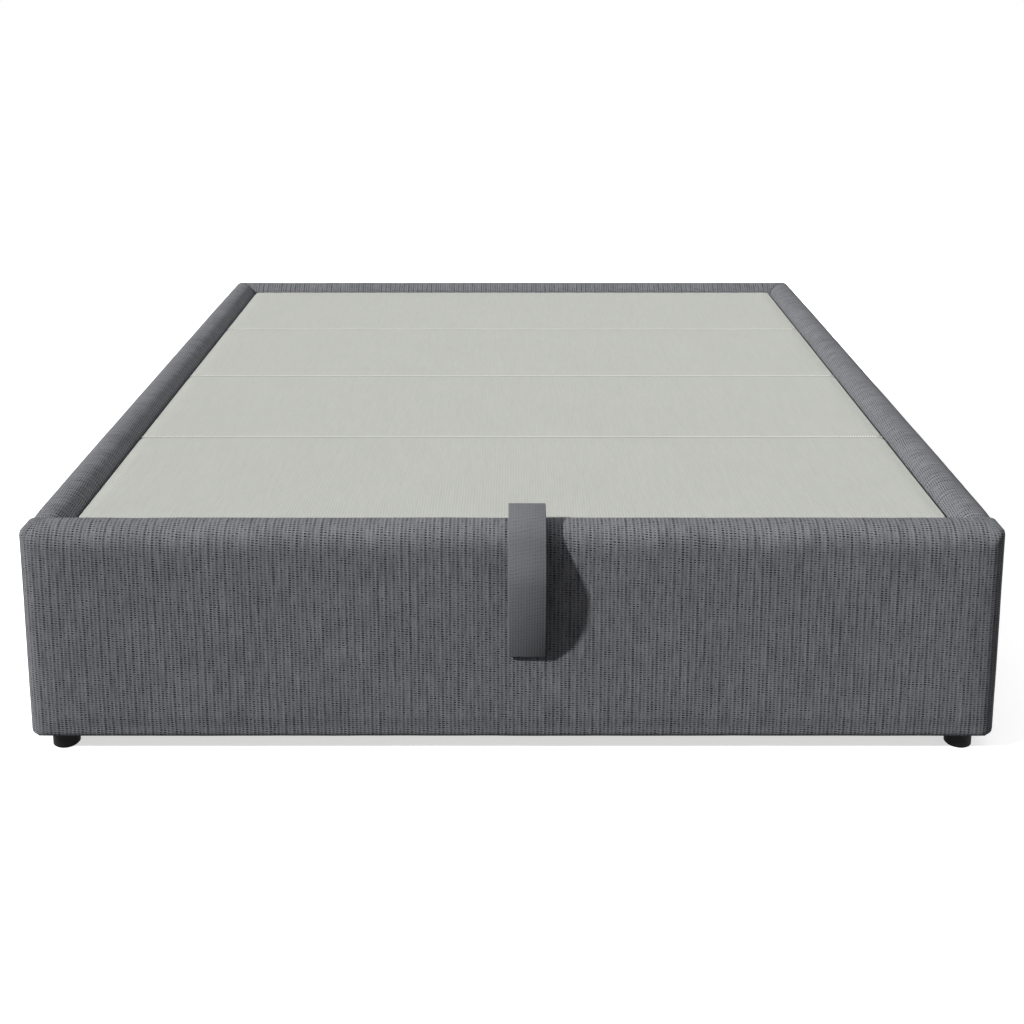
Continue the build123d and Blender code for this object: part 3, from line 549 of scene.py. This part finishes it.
def plain_metal(name, colour, roughness, grit):
    """Bright plated or polished steel: metallic, with faint marks of the finish."""
    material, tree, shader = start_material(name)
    place = add_node(tree, "TexCoord").outputs["Object"]
    marks = add_node(tree, "TexNoise", {"Vector": place, "Scale": grit, "Detail": 3.0})
    rough = add_node(tree, "MapRange", {0: marks.outputs[0], 1: 0.3, 2: 0.7,
                                        3: roughness * 0.8, 4: roughness * 1.3})
    bump = add_node(tree, "Bump", {"Height": marks.outputs[0], "Strength": 0.1,
                                   "Distance": 0.05 * MM})
    set_shader(tree, shader, Base_Color=opaque(colour), Metallic=1.0,
               Roughness=rough.outputs[0], Normal=bump.outputs[0])
    return material


def moulded(name, colour, roughness, grain, gloss=0.5):
    """Moulded plastic, rubber or foam, and sewing thread: matt, with a fine even grain.

    Plastic and rubber take the grain from the spark-eroded mould."""
    material, tree, shader = start_material(name)
    place = add_node(tree, "TexCoord").outputs["Object"]
    spark = add_node(tree, "TexNoise", {"Vector": place, "Scale": 1 / grain, "Detail": 2.0})
    rough = add_node(tree, "MapRange", {0: spark.outputs[0], 1: 0.3, 2: 0.7,
                                        3: roughness - 0.06, 4: roughness + 0.06})
    bump = add_node(tree, "Bump", {"Height": spark.outputs[0], "Strength": 0.3,
                                   "Distance": 0.1 * MM})
    set_shader(tree, shader, Base_Color=opaque(colour), Roughness=rough.outputs[0], IOR=1.46,
               Specular_IOR_Level=gloss, Normal=bump.outputs[0])
    return material


# Pieces

def wall_map(along, rear, radius, end, wraps=False):
    """The cloth's map on a wall: along its length, and up its face and over its roll.

    along is the axis of its length, rear says how far a point lies behind the outer face, and
    the fabric turns the corner at the given end with that radius. Where it wraps, it goes on
    over the wall's whole end."""
    def place(point):
        q = rear(point)
        if point.z > ROLL_Z:
            up = ROLL_Z + ROLL_RADIUS * math.atan2(point.z - ROLL_Z, ROLL_RADIUS - q)
        elif q < ROLL_RADIUS:
            up = point.z
        else:
            up = 2 * ROLL_Z + math.pi * ROLL_RADIUS - point.z
        run = point[along]
        past = abs(run) - (end - radius) if along == 0 else run - (end - radius)
        if past > 0 and q < radius:
            past = radius * math.atan2(past, radius - q) - past
            run += math.copysign(past, run) if along == 0 else past
        elif past > 0 and wraps:
            run = math.copysign(end - radius + radius * math.pi / 2 + q - radius, run)
        return run, up
    return place


class BED_OT_front_panel(bpy.types.Operator):
    """Makes the padded front panel."""

    bl_idname = "bed.front_panel"
    bl_label = "Front panel"

    def execute(self, context):
        size = sizes()
        low, high = (-OUTER_HALF, FRONT_Y, WALL_BOTTOM), (OUTER_HALF, WELL_FOOT_Y, CREST)
        piece = block("front_panel", low, high)
        round_edges(piece, 0, [(FRONT_Y, CREST), (WELL_FOOT_Y, CREST)], ROLL_RADIUS, 14)
        round_edges(piece, 0, [(FRONT_Y, WALL_BOTTOM)], size.bottom_radius, 5)
        outline = block("outline", (low[0], low[1] - OVERRUN, low[2]),
                        (high[0], high[1] + OVERRUN, high[2]))
        round_edges(outline, 1, [(x, CREST) for x in (low[0], high[0])], size.shoulder_radius, 12)
        round_edges(outline, 1, [(x, WALL_BOTTOM) for x in (low[0], high[0])],
                    size.bottom_radius, 5)
        plan = block("plan", (low[0], low[1], low[2] - OVERRUN),
                     (high[0], high[1], high[2] + OVERRUN))
        round_edges(plan, 2, [(x, FRONT_Y) for x in (low[0], high[0])],
                    size.front_edge_radius, 8)
        round_edges(plan, 2, [(x, WELL_FOOT_Y) for x in (low[0], high[0])],
                    size.joint_radius, 4)
        common(piece, outline, plan)
        padding(piece, size.wall_mesh, size.wall_puff,
                lambda point: max(near(point.z - WALL_BOTTOM, *WALL_BOTTOM_TIGHT),
                                  near(OUTER_HALF - abs(point.x), *WALL_END_TIGHT)))
        uneven(piece)
        map_weave(piece, wall_map(0, lambda point: point.y - FRONT_Y, size.front_edge_radius,
                                  OUTER_HALF, wraps=True))
        smooth(piece)
        covers(piece, "front_panel_upholstery", "base", bpy.data.materials["Ribbed upholstery"],
               ["front_panel_cover", "front_panel_foam"])
        return {"FINISHED"}


class BED_OT_side_rails(bpy.types.Operator):
    """Makes the two padded side rails, mitred at the head end."""

    bl_idname = "bed.side_rails"
    bl_label = "Side rails"

    def execute(self, context):
        size = sizes()
        # Behind the front panel the rail's end narrows along an ellipse: its length, the share
        # of the ellipse that is used, the least value under the root, and the shift inwards
        tongue, ellipse_share, least, inwards = 38 * MM, 0.97, 0.05, 3 * MM
        low = (INNER_HALF, WELL_FOOT_Y - tongue, WALL_BOTTOM)
        high = (OUTER_HALF, BACK_Y, CREST)
        piece = block("right_rail", low, high)
        round_edges(piece, 1, [(INNER_HALF, CREST), (OUTER_HALF, CREST)], ROLL_RADIUS, 14)
        round_edges(piece, 1, [(OUTER_HALF, WALL_BOTTOM)], size.bottom_radius, 5)
        plan = block("plan", (low[0] - OVERRUN, low[1] - OVERRUN, low[2] - OVERRUN),
                     (high[0], high[1], high[2] + OVERRUN))
        round_edges(plan, 2, [(OUTER_HALF, BACK_Y)], size.back_corner_radius, 8)
        common(piece, plan)
        padding(piece, size.wall_mesh, size.wall_puff,
                lambda point: max(near(point.z - WALL_BOTTOM, *WALL_BOTTOM_TIGHT),
                                  near(BACK_Y - point.y, *WALL_END_TIGHT)))
        uneven(piece)
        cut(piece, (INNER_HALF, WELL_HEAD_Y - MITRE_GAP, 0), (-1, 1, 0), MITRE_SOFTNESS)
        # The roll's end is drawn in and tucks into the hollow behind the front panel's roll
        middle = (INNER_HALF + OUTER_HALF) / 2
        for vertex in piece.data.vertices:
            into = (WELL_FOOT_Y - vertex.co.y) / tongue
            if into > 0:
                share = math.sqrt(max(least, 1 - (ellipse_share * into) ** 2))
                vertex.co.x = middle + (vertex.co.x - middle) * share - inwards * into ** 2
                vertex.co.z = ROLL_Z + (vertex.co.z - ROLL_Z) * share
        left = piece.copy()
        left.data = piece.data.copy()
        bpy.context.collection.objects.link(left)
        only(left)
        left.scale = (-1, 1, 1)
        bpy.ops.object.transform_apply(location=True, rotation=True, scale=True)
        pick_all(left)
        bpy.ops.mesh.normals_make_consistent(inside=False)
        bpy.ops.object.mode_set(mode="OBJECT")
        for rail, side in ((piece, "right"), (left, "left")):
            map_weave(rail, wall_map(1, lambda point: OUTER_HALF - abs(point.x),
                                     size.back_corner_radius, BACK_Y))
            smooth(rail)
            covers(rail, f"{side}_rail_upholstery", "base",
                   bpy.data.materials["Ribbed upholstery"],
                   [f"{side}_rail_cover", f"{side}_rail_foam"])
        return {"FINISHED"}


class BED_OT_head_rail(bpy.types.Operator):
    """Makes the padded head rail, mitred to the side rails."""

    bl_idname = "bed.head_rail"
    bl_label = "Head rail"

    def execute(self, context):
        size = sizes()
        low, high = (-OUTER_HALF, WELL_HEAD_Y, WALL_BOTTOM), (OUTER_HALF, BACK_Y, CREST)
        piece = block("head_rail", low, high)
        round_edges(piece, 0, [(WELL_HEAD_Y, CREST), (BACK_Y, CREST)], ROLL_RADIUS, 14)
        round_edges(piece, 0, [(BACK_Y, WALL_BOTTOM)], size.bottom_radius, 5)
        plan = block("plan", (low[0], low[1] - OVERRUN, low[2] - OVERRUN),
                     (high[0], high[1], high[2] + OVERRUN))
        round_edges(plan, 2, [(x, BACK_Y) for x in (low[0], high[0])],
                    size.back_corner_radius, 8)
        common(piece, plan)
        padding(piece, size.wall_mesh, size.wall_puff,
                lambda point: max(near(point.z - WALL_BOTTOM, *WALL_BOTTOM_TIGHT),
                                  near(OUTER_HALF - abs(point.x), *WALL_END_TIGHT)))
        uneven(piece)
        for side in (-1, 1):
            cut(piece, (side * (INNER_HALF - MITRE_GAP), WELL_HEAD_Y, 0), (side, -1, 0),
                MITRE_SOFTNESS)
        map_weave(piece, wall_map(0, lambda point: BACK_Y - point.y, size.back_corner_radius,
                                  OUTER_HALF))
        smooth(piece)
        covers(piece, "head_rail_upholstery", "base", bpy.data.materials["Ribbed upholstery"],
               ["head_rail_cover", "head_rail_foam"])
        return {"FINISHED"}


class BED_OT_platform_panels(bpy.types.Operator):
    """Makes the four padded platform panels with the hem turned under each."""

    bl_idname = "bed.platform_panels"
    bl_label = "Platform panels"

    def execute(self, context):
        size = sizes()
        # The top starts lower by this much, as it swells; then the radii of its edges
        drawn_in, edge_radius, end_radius, corner_radius = 0.6 * MM, 1.5 * MM, 4 * MM, 8 * MM
        hem, hem_thickness = size.panel_hem, 2.5 * MM
        low, high = PANEL_LOW.copy(), PANEL_HIGH.copy()
        top = block("panel", low, high - Vector((0, 0, drawn_in)))
        sides = [(low.y, high.z - drawn_in), (high.y, high.z - drawn_in)]
        round_edges(top, 0, sides, edge_radius, 3)
        plan = block("plan", low - Vector((0, 0, OVERRUN)), high + Vector((0, 0, OVERRUN)))
        round_edges(plan, 2, [(x, y) for x in (low.x, high.x) for y in (low.y, high.y)],
                    corner_radius, 5)
        ends = block("ends", low - Vector((0, OVERRUN, 0)),
                     high + Vector((0, OVERRUN, -drawn_in)))
        round_edges(ends, 1, [(low.x, high.z - drawn_in), (high.x, high.z - drawn_in)],
                    end_radius, 4)
        common(top, plan, ends)
        padding(top, size.panel_mesh, size.panel_puff,
                lambda point: max(near(point.z - low.z, *PANEL_BOTTOM_TIGHT),
                                  near(high.x - abs(point.x), *PANEL_EDGE_TIGHT),
                                  near(min(point.y - low.y, high.y - point.y),
                                       *PANEL_EDGE_TIGHT)))
        recess = block("recess", low + Vector((hem, hem, -OVERRUN)),
                       Vector((high.x - hem, high.y - hem, low.z + hem_thickness)))
        applied(top, "BOOLEAN", operation="DIFFERENCE", solver="EXACT", object=recess)
        bpy.data.objects.remove(recess, do_unlink=True)
        smooth(top)
        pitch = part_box("platform_cover_2")[0].y - low.y
        for number in range(1, 5):
            piece = top if number == 4 else top.copy()
            if piece is not top:
                piece.data = top.data.copy()
                bpy.context.collection.objects.link(piece)
            only(piece)
            piece.location.y = (number - 1) * pitch
            bpy.ops.object.transform_apply(location=True, rotation=False, scale=False)
            covers(piece, f"platform_panel_{number}", "platform",
                   bpy.data.materials["Fine ribbed platform cloth"],
                   [f"platform_cover_{number}"])
        return {"FINISHED"}


class BED_OT_seam_stitches(bpy.types.Operator):
    """Sews the row of pale stitches along each seam of the platform."""

    bl_idname = "bed.seam_stitches"
    bl_label = "Seam stitches"

    def execute(self, context):
        pitch = sizes().stitch_pitch
        # A stitch: its length, its reach over either panel, its depth, height and rounding
        stitch, reach, sunk, rise, rounding = 2.4 * MM, 1.4 * MM, 1.3 * MM, 1.5 * MM, 0.5 * MM
        # The lining under it: its reach under either panel, and its lower and upper face
        lap, lining_low, lining_top = 3 * MM, 3 * MM, 0.7 * MM
        # How far the stitches and the lining stop from the panels' ends
        stitch_stop, lining_stop = 14 * MM, 4 * MM
        half = PANEL_HIGH.x - stitch_stop
        count = int(2 * half / pitch)
        material = bpy.data.materials["Polyester thread"]
        cloth = bpy.data.materials["Fine ribbed platform cloth"]
        for number in range(2, 5):
            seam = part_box(f"platform_cover_{number}")[0].y
            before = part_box(f"platform_cover_{number - 1}")[1].y
            # The cover is one cloth, so it also lines the seam's groove
            end = PANEL_HIGH.x - lining_stop
            lining = block("lining", (-end, before - lap, PANEL_HIGH.z - lining_low),
                           (end, seam + lap, PANEL_HIGH.z - lining_top))
            lining.data.materials.append(cloth)
            start = Vector((-half, before - reach, PANEL_HIGH.z - sunk))
            row = block(f"seam_stitches_{number - 1}", start,
                        start + Vector((stitch, seam - before + 2 * reach, rise)))
            pick_all(row)
            bpy.ops.mesh.bevel(offset=rounding, segments=1, affect="EDGES")
            bpy.ops.object.mode_set(mode="OBJECT")
            applied(row, "ARRAY", count=count, use_relative_offset=False,
                    use_constant_offset=True, constant_offset_displace=(pitch, 0, 0))
            smooth(row, 60)
            row.data.materials.append(material)
            lining.select_set(True)
            bpy.ops.object.join()
            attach(row, "platform")
        return {"FINISHED"}


# The strap's way in mm, out from the front face and up from the crest
STRAP_BENDS = ((-96.5, -26), (-44.72, 28), (24.84, -19.04), (39.5, -62), (46, -105),
               (11.96, -267.92), (3.5, -265.6))
# Its inner run sags a little off the panel between the fold and the crest
STRAP_INNER = ((9, -225), (12.5, -185), (6, -100), (3.5, -43))
# It starts at the clamp, ends with a half turn over the crest, and comes down beside its start
STRAP_CLAMP = (-96.5, -77)
STRAP_TURN = (-43, -43)
STRAP_TURN_RADIUS = 46.5
STRAP_TAIL = ((-89.5, -43), (-89.5, -50), (-93.2, -58), (-93.2, -77))


def bend_parts(start, heading, end):
    """Centre and signed angle of the arc from start along the heading to end."""
    chord = end - start
    side = Vector((-heading.y, heading.x))
    across = chord.dot(side)
    radius = chord.length_squared / (2 * across)
    centre = start + side * radius
    first, last = start - centre, end - centre
    angle = math.atan2(first.x * last.y - first.y * last.x, first.dot(last))
    if radius > 0 > angle:
        angle += math.tau
    if radius < 0 < angle:
        angle -= math.tau
    turned = Vector((heading.x * math.cos(angle) - heading.y * math.sin(angle),
                     heading.x * math.sin(angle) + heading.y * math.cos(angle)))
    return centre, angle, turned


def strap_point(spot):
    """A point of the strap's side view in the frame, at the middle of its width."""
    middle = (STRAP_LOW.x + STRAP_HIGH.x) / 2
    return Vector((middle, FRONT_Y - spot[0] * MM, CREST + spot[1] * MM))


def strap_route():
    """The strap's centre line as short steps, for its map."""
    points, heading = [Vector(STRAP_BENDS[0])], Vector((0, 1))
    for end in STRAP_BENDS[1:] + STRAP_INNER:
        start = points[-1]
        centre, angle, heading = bend_parts(start, heading, Vector(end))
        arm = start - centre
        for step in range(1, 41):
            turn = angle * step / 40
            points.append(centre + Vector((arm.x * math.cos(turn) - arm.y * math.sin(turn),
                                           arm.x * math.sin(turn) + arm.y * math.cos(turn))))
    for step in range(1, 41):
        turn = math.pi * step / 40
        points.append(Vector((STRAP_TURN[0] + STRAP_TURN_RADIUS * math.cos(turn),
                              STRAP_TURN[1] + STRAP_TURN_RADIUS * math.sin(turn))))
    points.append(Vector((STRAP_TAIL[0][0], STRAP_TAIL[-1][1])))
    return points


class BED_OT_pull_strap(bpy.types.Operator):
    """Bends and folds the flat fabric strap into its hanging loop."""

    bl_idname = "bed.pull_strap"
    bl_label = "Pull strap"

    def execute(self, context):
        width = STRAP_HIGH.x - STRAP_LOW.x
        thickness, selvedge_radius = sizes().strap_thickness, 1.1 * MM
        # The strap starts as its flat cross-section at the clamp, which faces up
        centre = strap_point(STRAP_CLAMP)
        piece = start_piece(bpy.ops.mesh.primitive_plane_add, size=1, location=centre)
        pick_all(piece)
        bpy.ops.transform.resize(value=(width, thickness, 1), center_override=centre)
        bpy.ops.mesh.bevel(offset=selvedge_radius, segments=3, affect="VERTICES")
        bpy.ops.mesh.select_all(action="SELECT")

        def pull(start, end):
            move = strap_point(end) - strap_point(start)
            bpy.ops.mesh.extrude_region_move(TRANSFORM_OT_translate={"value": move})

        def turn_to(centre, angle, steps):
            bpy.ops.mesh.spin(steps=steps, angle=angle, center=strap_point(centre),
                              axis=(1, 0, 0), use_auto_merge=False)

        # Spin turns about the strap's width; the side view is seen from its right
        pull(STRAP_CLAMP, STRAP_BENDS[0])
        start, heading = Vector(STRAP_BENDS[0]), Vector((0, 1))
        for end in STRAP_BENDS[1:] + STRAP_INNER:
            centre, angle, heading = bend_parts(start, heading, Vector(end))
            turn_to(centre, angle, max(3, int(abs(angle) / math.radians(6))))
            start = Vector(end)
        turn_to(STRAP_TURN, math.pi, 24)
        for start, end in zip(STRAP_TAIL, STRAP_TAIL[1:]):
            pull(start, end)
        bpy.ops.mesh.select_all(action="SELECT")
        bpy.ops.mesh.remove_doubles(threshold=0.05 * MM)
        bpy.ops.mesh.normals_make_consistent(inside=False)
        bpy.ops.object.mode_set(mode="OBJECT")
        route = strap_route()
        runs = [0.0]
        for before, after in zip(route, route[1:]):
            runs.append(runs[-1] + (after - before).length * MM)

        def place(point):
            spot = Vector(((FRONT_Y - point.y) / MM, (point.z - CREST) / MM))
            nearest = min(range(len(route)), key=lambda n: (route[n] - spot).length_squared)
            return point.x, runs[nearest]

        map_weave(piece, place)
        smooth(piece, 50)
        covers(piece, "pull_strap_loop", "platform", bpy.data.materials["Plain woven strap"],
               ["pull_strap"])
        return {"FINISHED"}


class BED_OT_finishes(bpy.types.Operator):
    """Makes every material, and gives the rigid parts of the frame theirs."""

    bl_idname = "bed.finishes"
    bl_label = "Finishes"

    def execute(self, context):
        size, tint = sizes(), colours()
        woven("Ribbed upholstery", tint.wall_yarn, tint.wall_gap, size.rib_pitch,
              size.pick_pitch, "map", 0.5 * MM, 0.9, 0.14, 0.05)
        # The strap's plain weave has threads of about 1 mm; it is drawn at 5 by 7 mm to show
        woven("Plain woven strap", tint.strap_yarn, tint.strap_gap, 5.4 * MM, 7.2 * MM,
              "map", 0.3 * MM, 0.35, 0.0, 0.02)
        # The platform cloth's ribs are about 2 mm apart; they are drawn at 6 mm to show
        woven("Fine ribbed platform cloth", tint.platform_yarn, tint.platform_gap, 6 * MM,
              5 * MM, "object", 0.3 * MM, 0.6, 0.0, 0.008)
        moulded("Polyester thread", tint.thread, 0.6, 1 * MM)
        finishes = {
            "timber": softwood("Planed pine", tint.timber, 12 * MM, (1.0, 0.05, 1.0)),
            "board": softwood("Birch plywood", tint.board, 30 * MM, (0.05, 1.0, 1.0)),
            "black_steel": coated_steel("Black powder-coated steel", tint.powder_coat),
            "zinc_steel": plain_metal("Zinc-plated steel", linear("b9bcc0"), 0.35, 300.0),
            "rod_chrome": plain_metal("Polished chrome", linear("dcdde0"), 0.08, 900.0),
            "black_foot": moulded("Moulded polypropylene", tint.foot, 0.6, 0.8 * MM, 0.12),
            "buffer_rubber": moulded("Moulded rubber", linear("161616"), 0.75, 0.6 * MM),
            "padding": moulded("Polyurethane foam", linear("d9d2bf"), 0.95, 1.5 * MM),
        }
        for name, node in NODES.items():
            slot = finish_of(name)
            if slot:
                node.data.materials.clear()
                node.data.materials.append(finishes[slot])
        return {"FINISHED"}


def finish_of(name):
    """The finish of a rigid part, from its own name; None for a cover or the strap."""
    words = (
        ("core", "timber"), ("batten", "timber"), ("centre_beam", "timber"), ("leg", "timber"),
        ("board", "board"), ("feet", "black_foot"), ("buffer", "buffer_rubber"),
        ("strut_rod", "rod_chrome"), ("bolt", "zinc_steel"), ("screw", "zinc_steel"),
        ("pin", "zinc_steel"), ("stud", "zinc_steel"), ("foam", "padding"),
        ("bracket", "black_steel"), ("plate", "black_steel"), ("arm", "black_steel"),
        ("tube", "black_steel"), ("cylinder", "black_steel"), ("clamp", "black_steel"),
    )
    for word, slot in words:
        if word in name:
            return slot
    return None


def clear_rays(tree):
    """A node that is 1 for the rays that see the background: camera, glossy and transmission."""
    rays = add_node(tree, "LightPath")
    seen = add_node(tree, "Math", {0: rays.outputs["Is Camera Ray"],
                                   1: rays.outputs["Is Glossy Ray"]}, operation="MAXIMUM")
    return add_node(tree, "Math", {0: seen.outputs[0], 1: rays.outputs["Is Transmission Ray"]},
                    operation="MAXIMUM")


class BED_OT_stage(bpy.types.Operator):
    """Sets the floor, the lights and the camera."""

    bl_idname = "bed.stage"
    bl_label = "Floor, lights and camera"

    def execute(self, context):
        tint = colours()
        floor = start_piece(bpy.ops.mesh.primitive_plane_add, size=80, location=(0, 0, 0))
        floor.name = "floor"
        material, tree, shader = start_material("Matt painted floor")
        clear = clear_rays(tree)
        # The floor throws little light back at the bed, and glows a little where it is seen
        bounce, glow = linear("484848"), 0.62
        paint = add_node(tree, "Mix", {"Factor": clear.outputs[0], 6: opaque(bounce),
                                       7: opaque(tint.floor)}, data_type="RGBA")
        lift = add_node(tree, "Math", {0: clear.outputs[0], 1: glow}, operation="MULTIPLY")
        set_shader(tree, shader, Base_Color=paint.outputs[2], Roughness=1.0,
                   Specular_IOR_Level=0.0, Emission_Color=(1, 1, 1, 1),
                   Emission_Strength=lift.outputs[0])
        floor.data.materials.append(material)

        world = bpy.data.worlds.new("studio")
        context.scene.world = world
        world.use_nodes = True
        tree = world.node_tree
        tree.nodes.clear()
        clear = clear_rays(tree)
        # The studio's walls light the bed dimly, and are seen white
        dim, white = 0.265, 1.0
        strength = add_node(tree, "MapRange", {0: clear.outputs[0], 3: dim, 4: white})
        walls = add_node(tree, "Background", {0: (1, 1, 1, 1), 1: strength.outputs[0]})
        output = add_node(tree, "OutputWorld")
        tree.links.new(walls.outputs[0], output.inputs[0])

        def lamp(name, strength, spread, towards):
            bpy.ops.object.select_all(action="DESELECT")
            bpy.ops.object.light_add(type="SUN", location=Vector(towards) * -4)
            light = context.object
            light.name = name
            light.data.energy = strength
            light.data.angle = math.radians(spread)
            light.rotation_euler = Vector(towards).to_track_quat("-Z", "Y").to_euler()

        lamp("key_left", 4.4, 3, (0.757, 0.378, -0.534))
        lamp("overhead", 0.5, 70, (0.03, 0.06, -1))
        lamp("fill_back", 0.9, 60, (-0.72, -0.68, -0.2))

        # The photograph's view: from in front of the foot end, looking a little down
        sideways, distance, height, pitch = -0.0004, 2.5314, 1.5794, 10.199
        bpy.ops.object.camera_add(location=(sideways, FRONT_Y - distance, height),
                                  rotation=(math.radians(90 - pitch), 0, 0))
        camera = context.object
        camera.name = "camera"
        camera.data.sensor_width = 36
        camera.data.lens = 47.571
        camera.data.shift_y = -0.29
        context.scene.camera = camera
        context.scene.view_settings.view_transform = "Standard"
        return {"FINISHED"}


class BED_PT_panel(bpy.types.Panel):
    """Lists the bed's pieces, sizes and colours."""

    bl_label = "Ottoman storage bed"
    bl_idname = "BED_PT_panel"
    bl_space_type = "VIEW_3D"
    bl_region_type = "UI"
    bl_category = "Bed"

    def draw(self, context):
        layout = self.layout
        for group in (context.scene.bed_sizes, context.scene.bed_colours):
            for name in group.__annotations__:
                layout.prop(group, name)
        for operator in OPERATORS:
            layout.operator(operator.bl_idname)


OPERATORS = (
    BED_OT_stage,
    BED_OT_finishes,
    BED_OT_front_panel,
    BED_OT_side_rails,
    BED_OT_head_rail,
    BED_OT_platform_panels,
    BED_OT_seam_stitches,
    BED_OT_pull_strap,
)
CLASSES = (BedSizes, BedColours, *OPERATORS, BED_PT_panel)


def register():
    for item in CLASSES:
        bpy.utils.register_class(item)
    bpy.types.Scene.bed_sizes = bpy.props.PointerProperty(type=BedSizes)
    bpy.types.Scene.bed_colours = bpy.props.PointerProperty(type=BedColours)


def unregister():
    del bpy.types.Scene.bed_colours
    del bpy.types.Scene.bed_sizes
    for item in reversed(CLASSES):
        bpy.utils.unregister_class(item)


def main():
    register()
    bpy.ops.bed.stage()
    bpy.ops.bed.finishes()
    bpy.ops.bed.front_panel()
    bpy.ops.bed.side_rails()
    bpy.ops.bed.head_rail()
    bpy.ops.bed.platform_panels()
    bpy.ops.bed.seam_stitches()
    bpy.ops.bed.pull_strap()


if __name__ == "__main__":
    main()
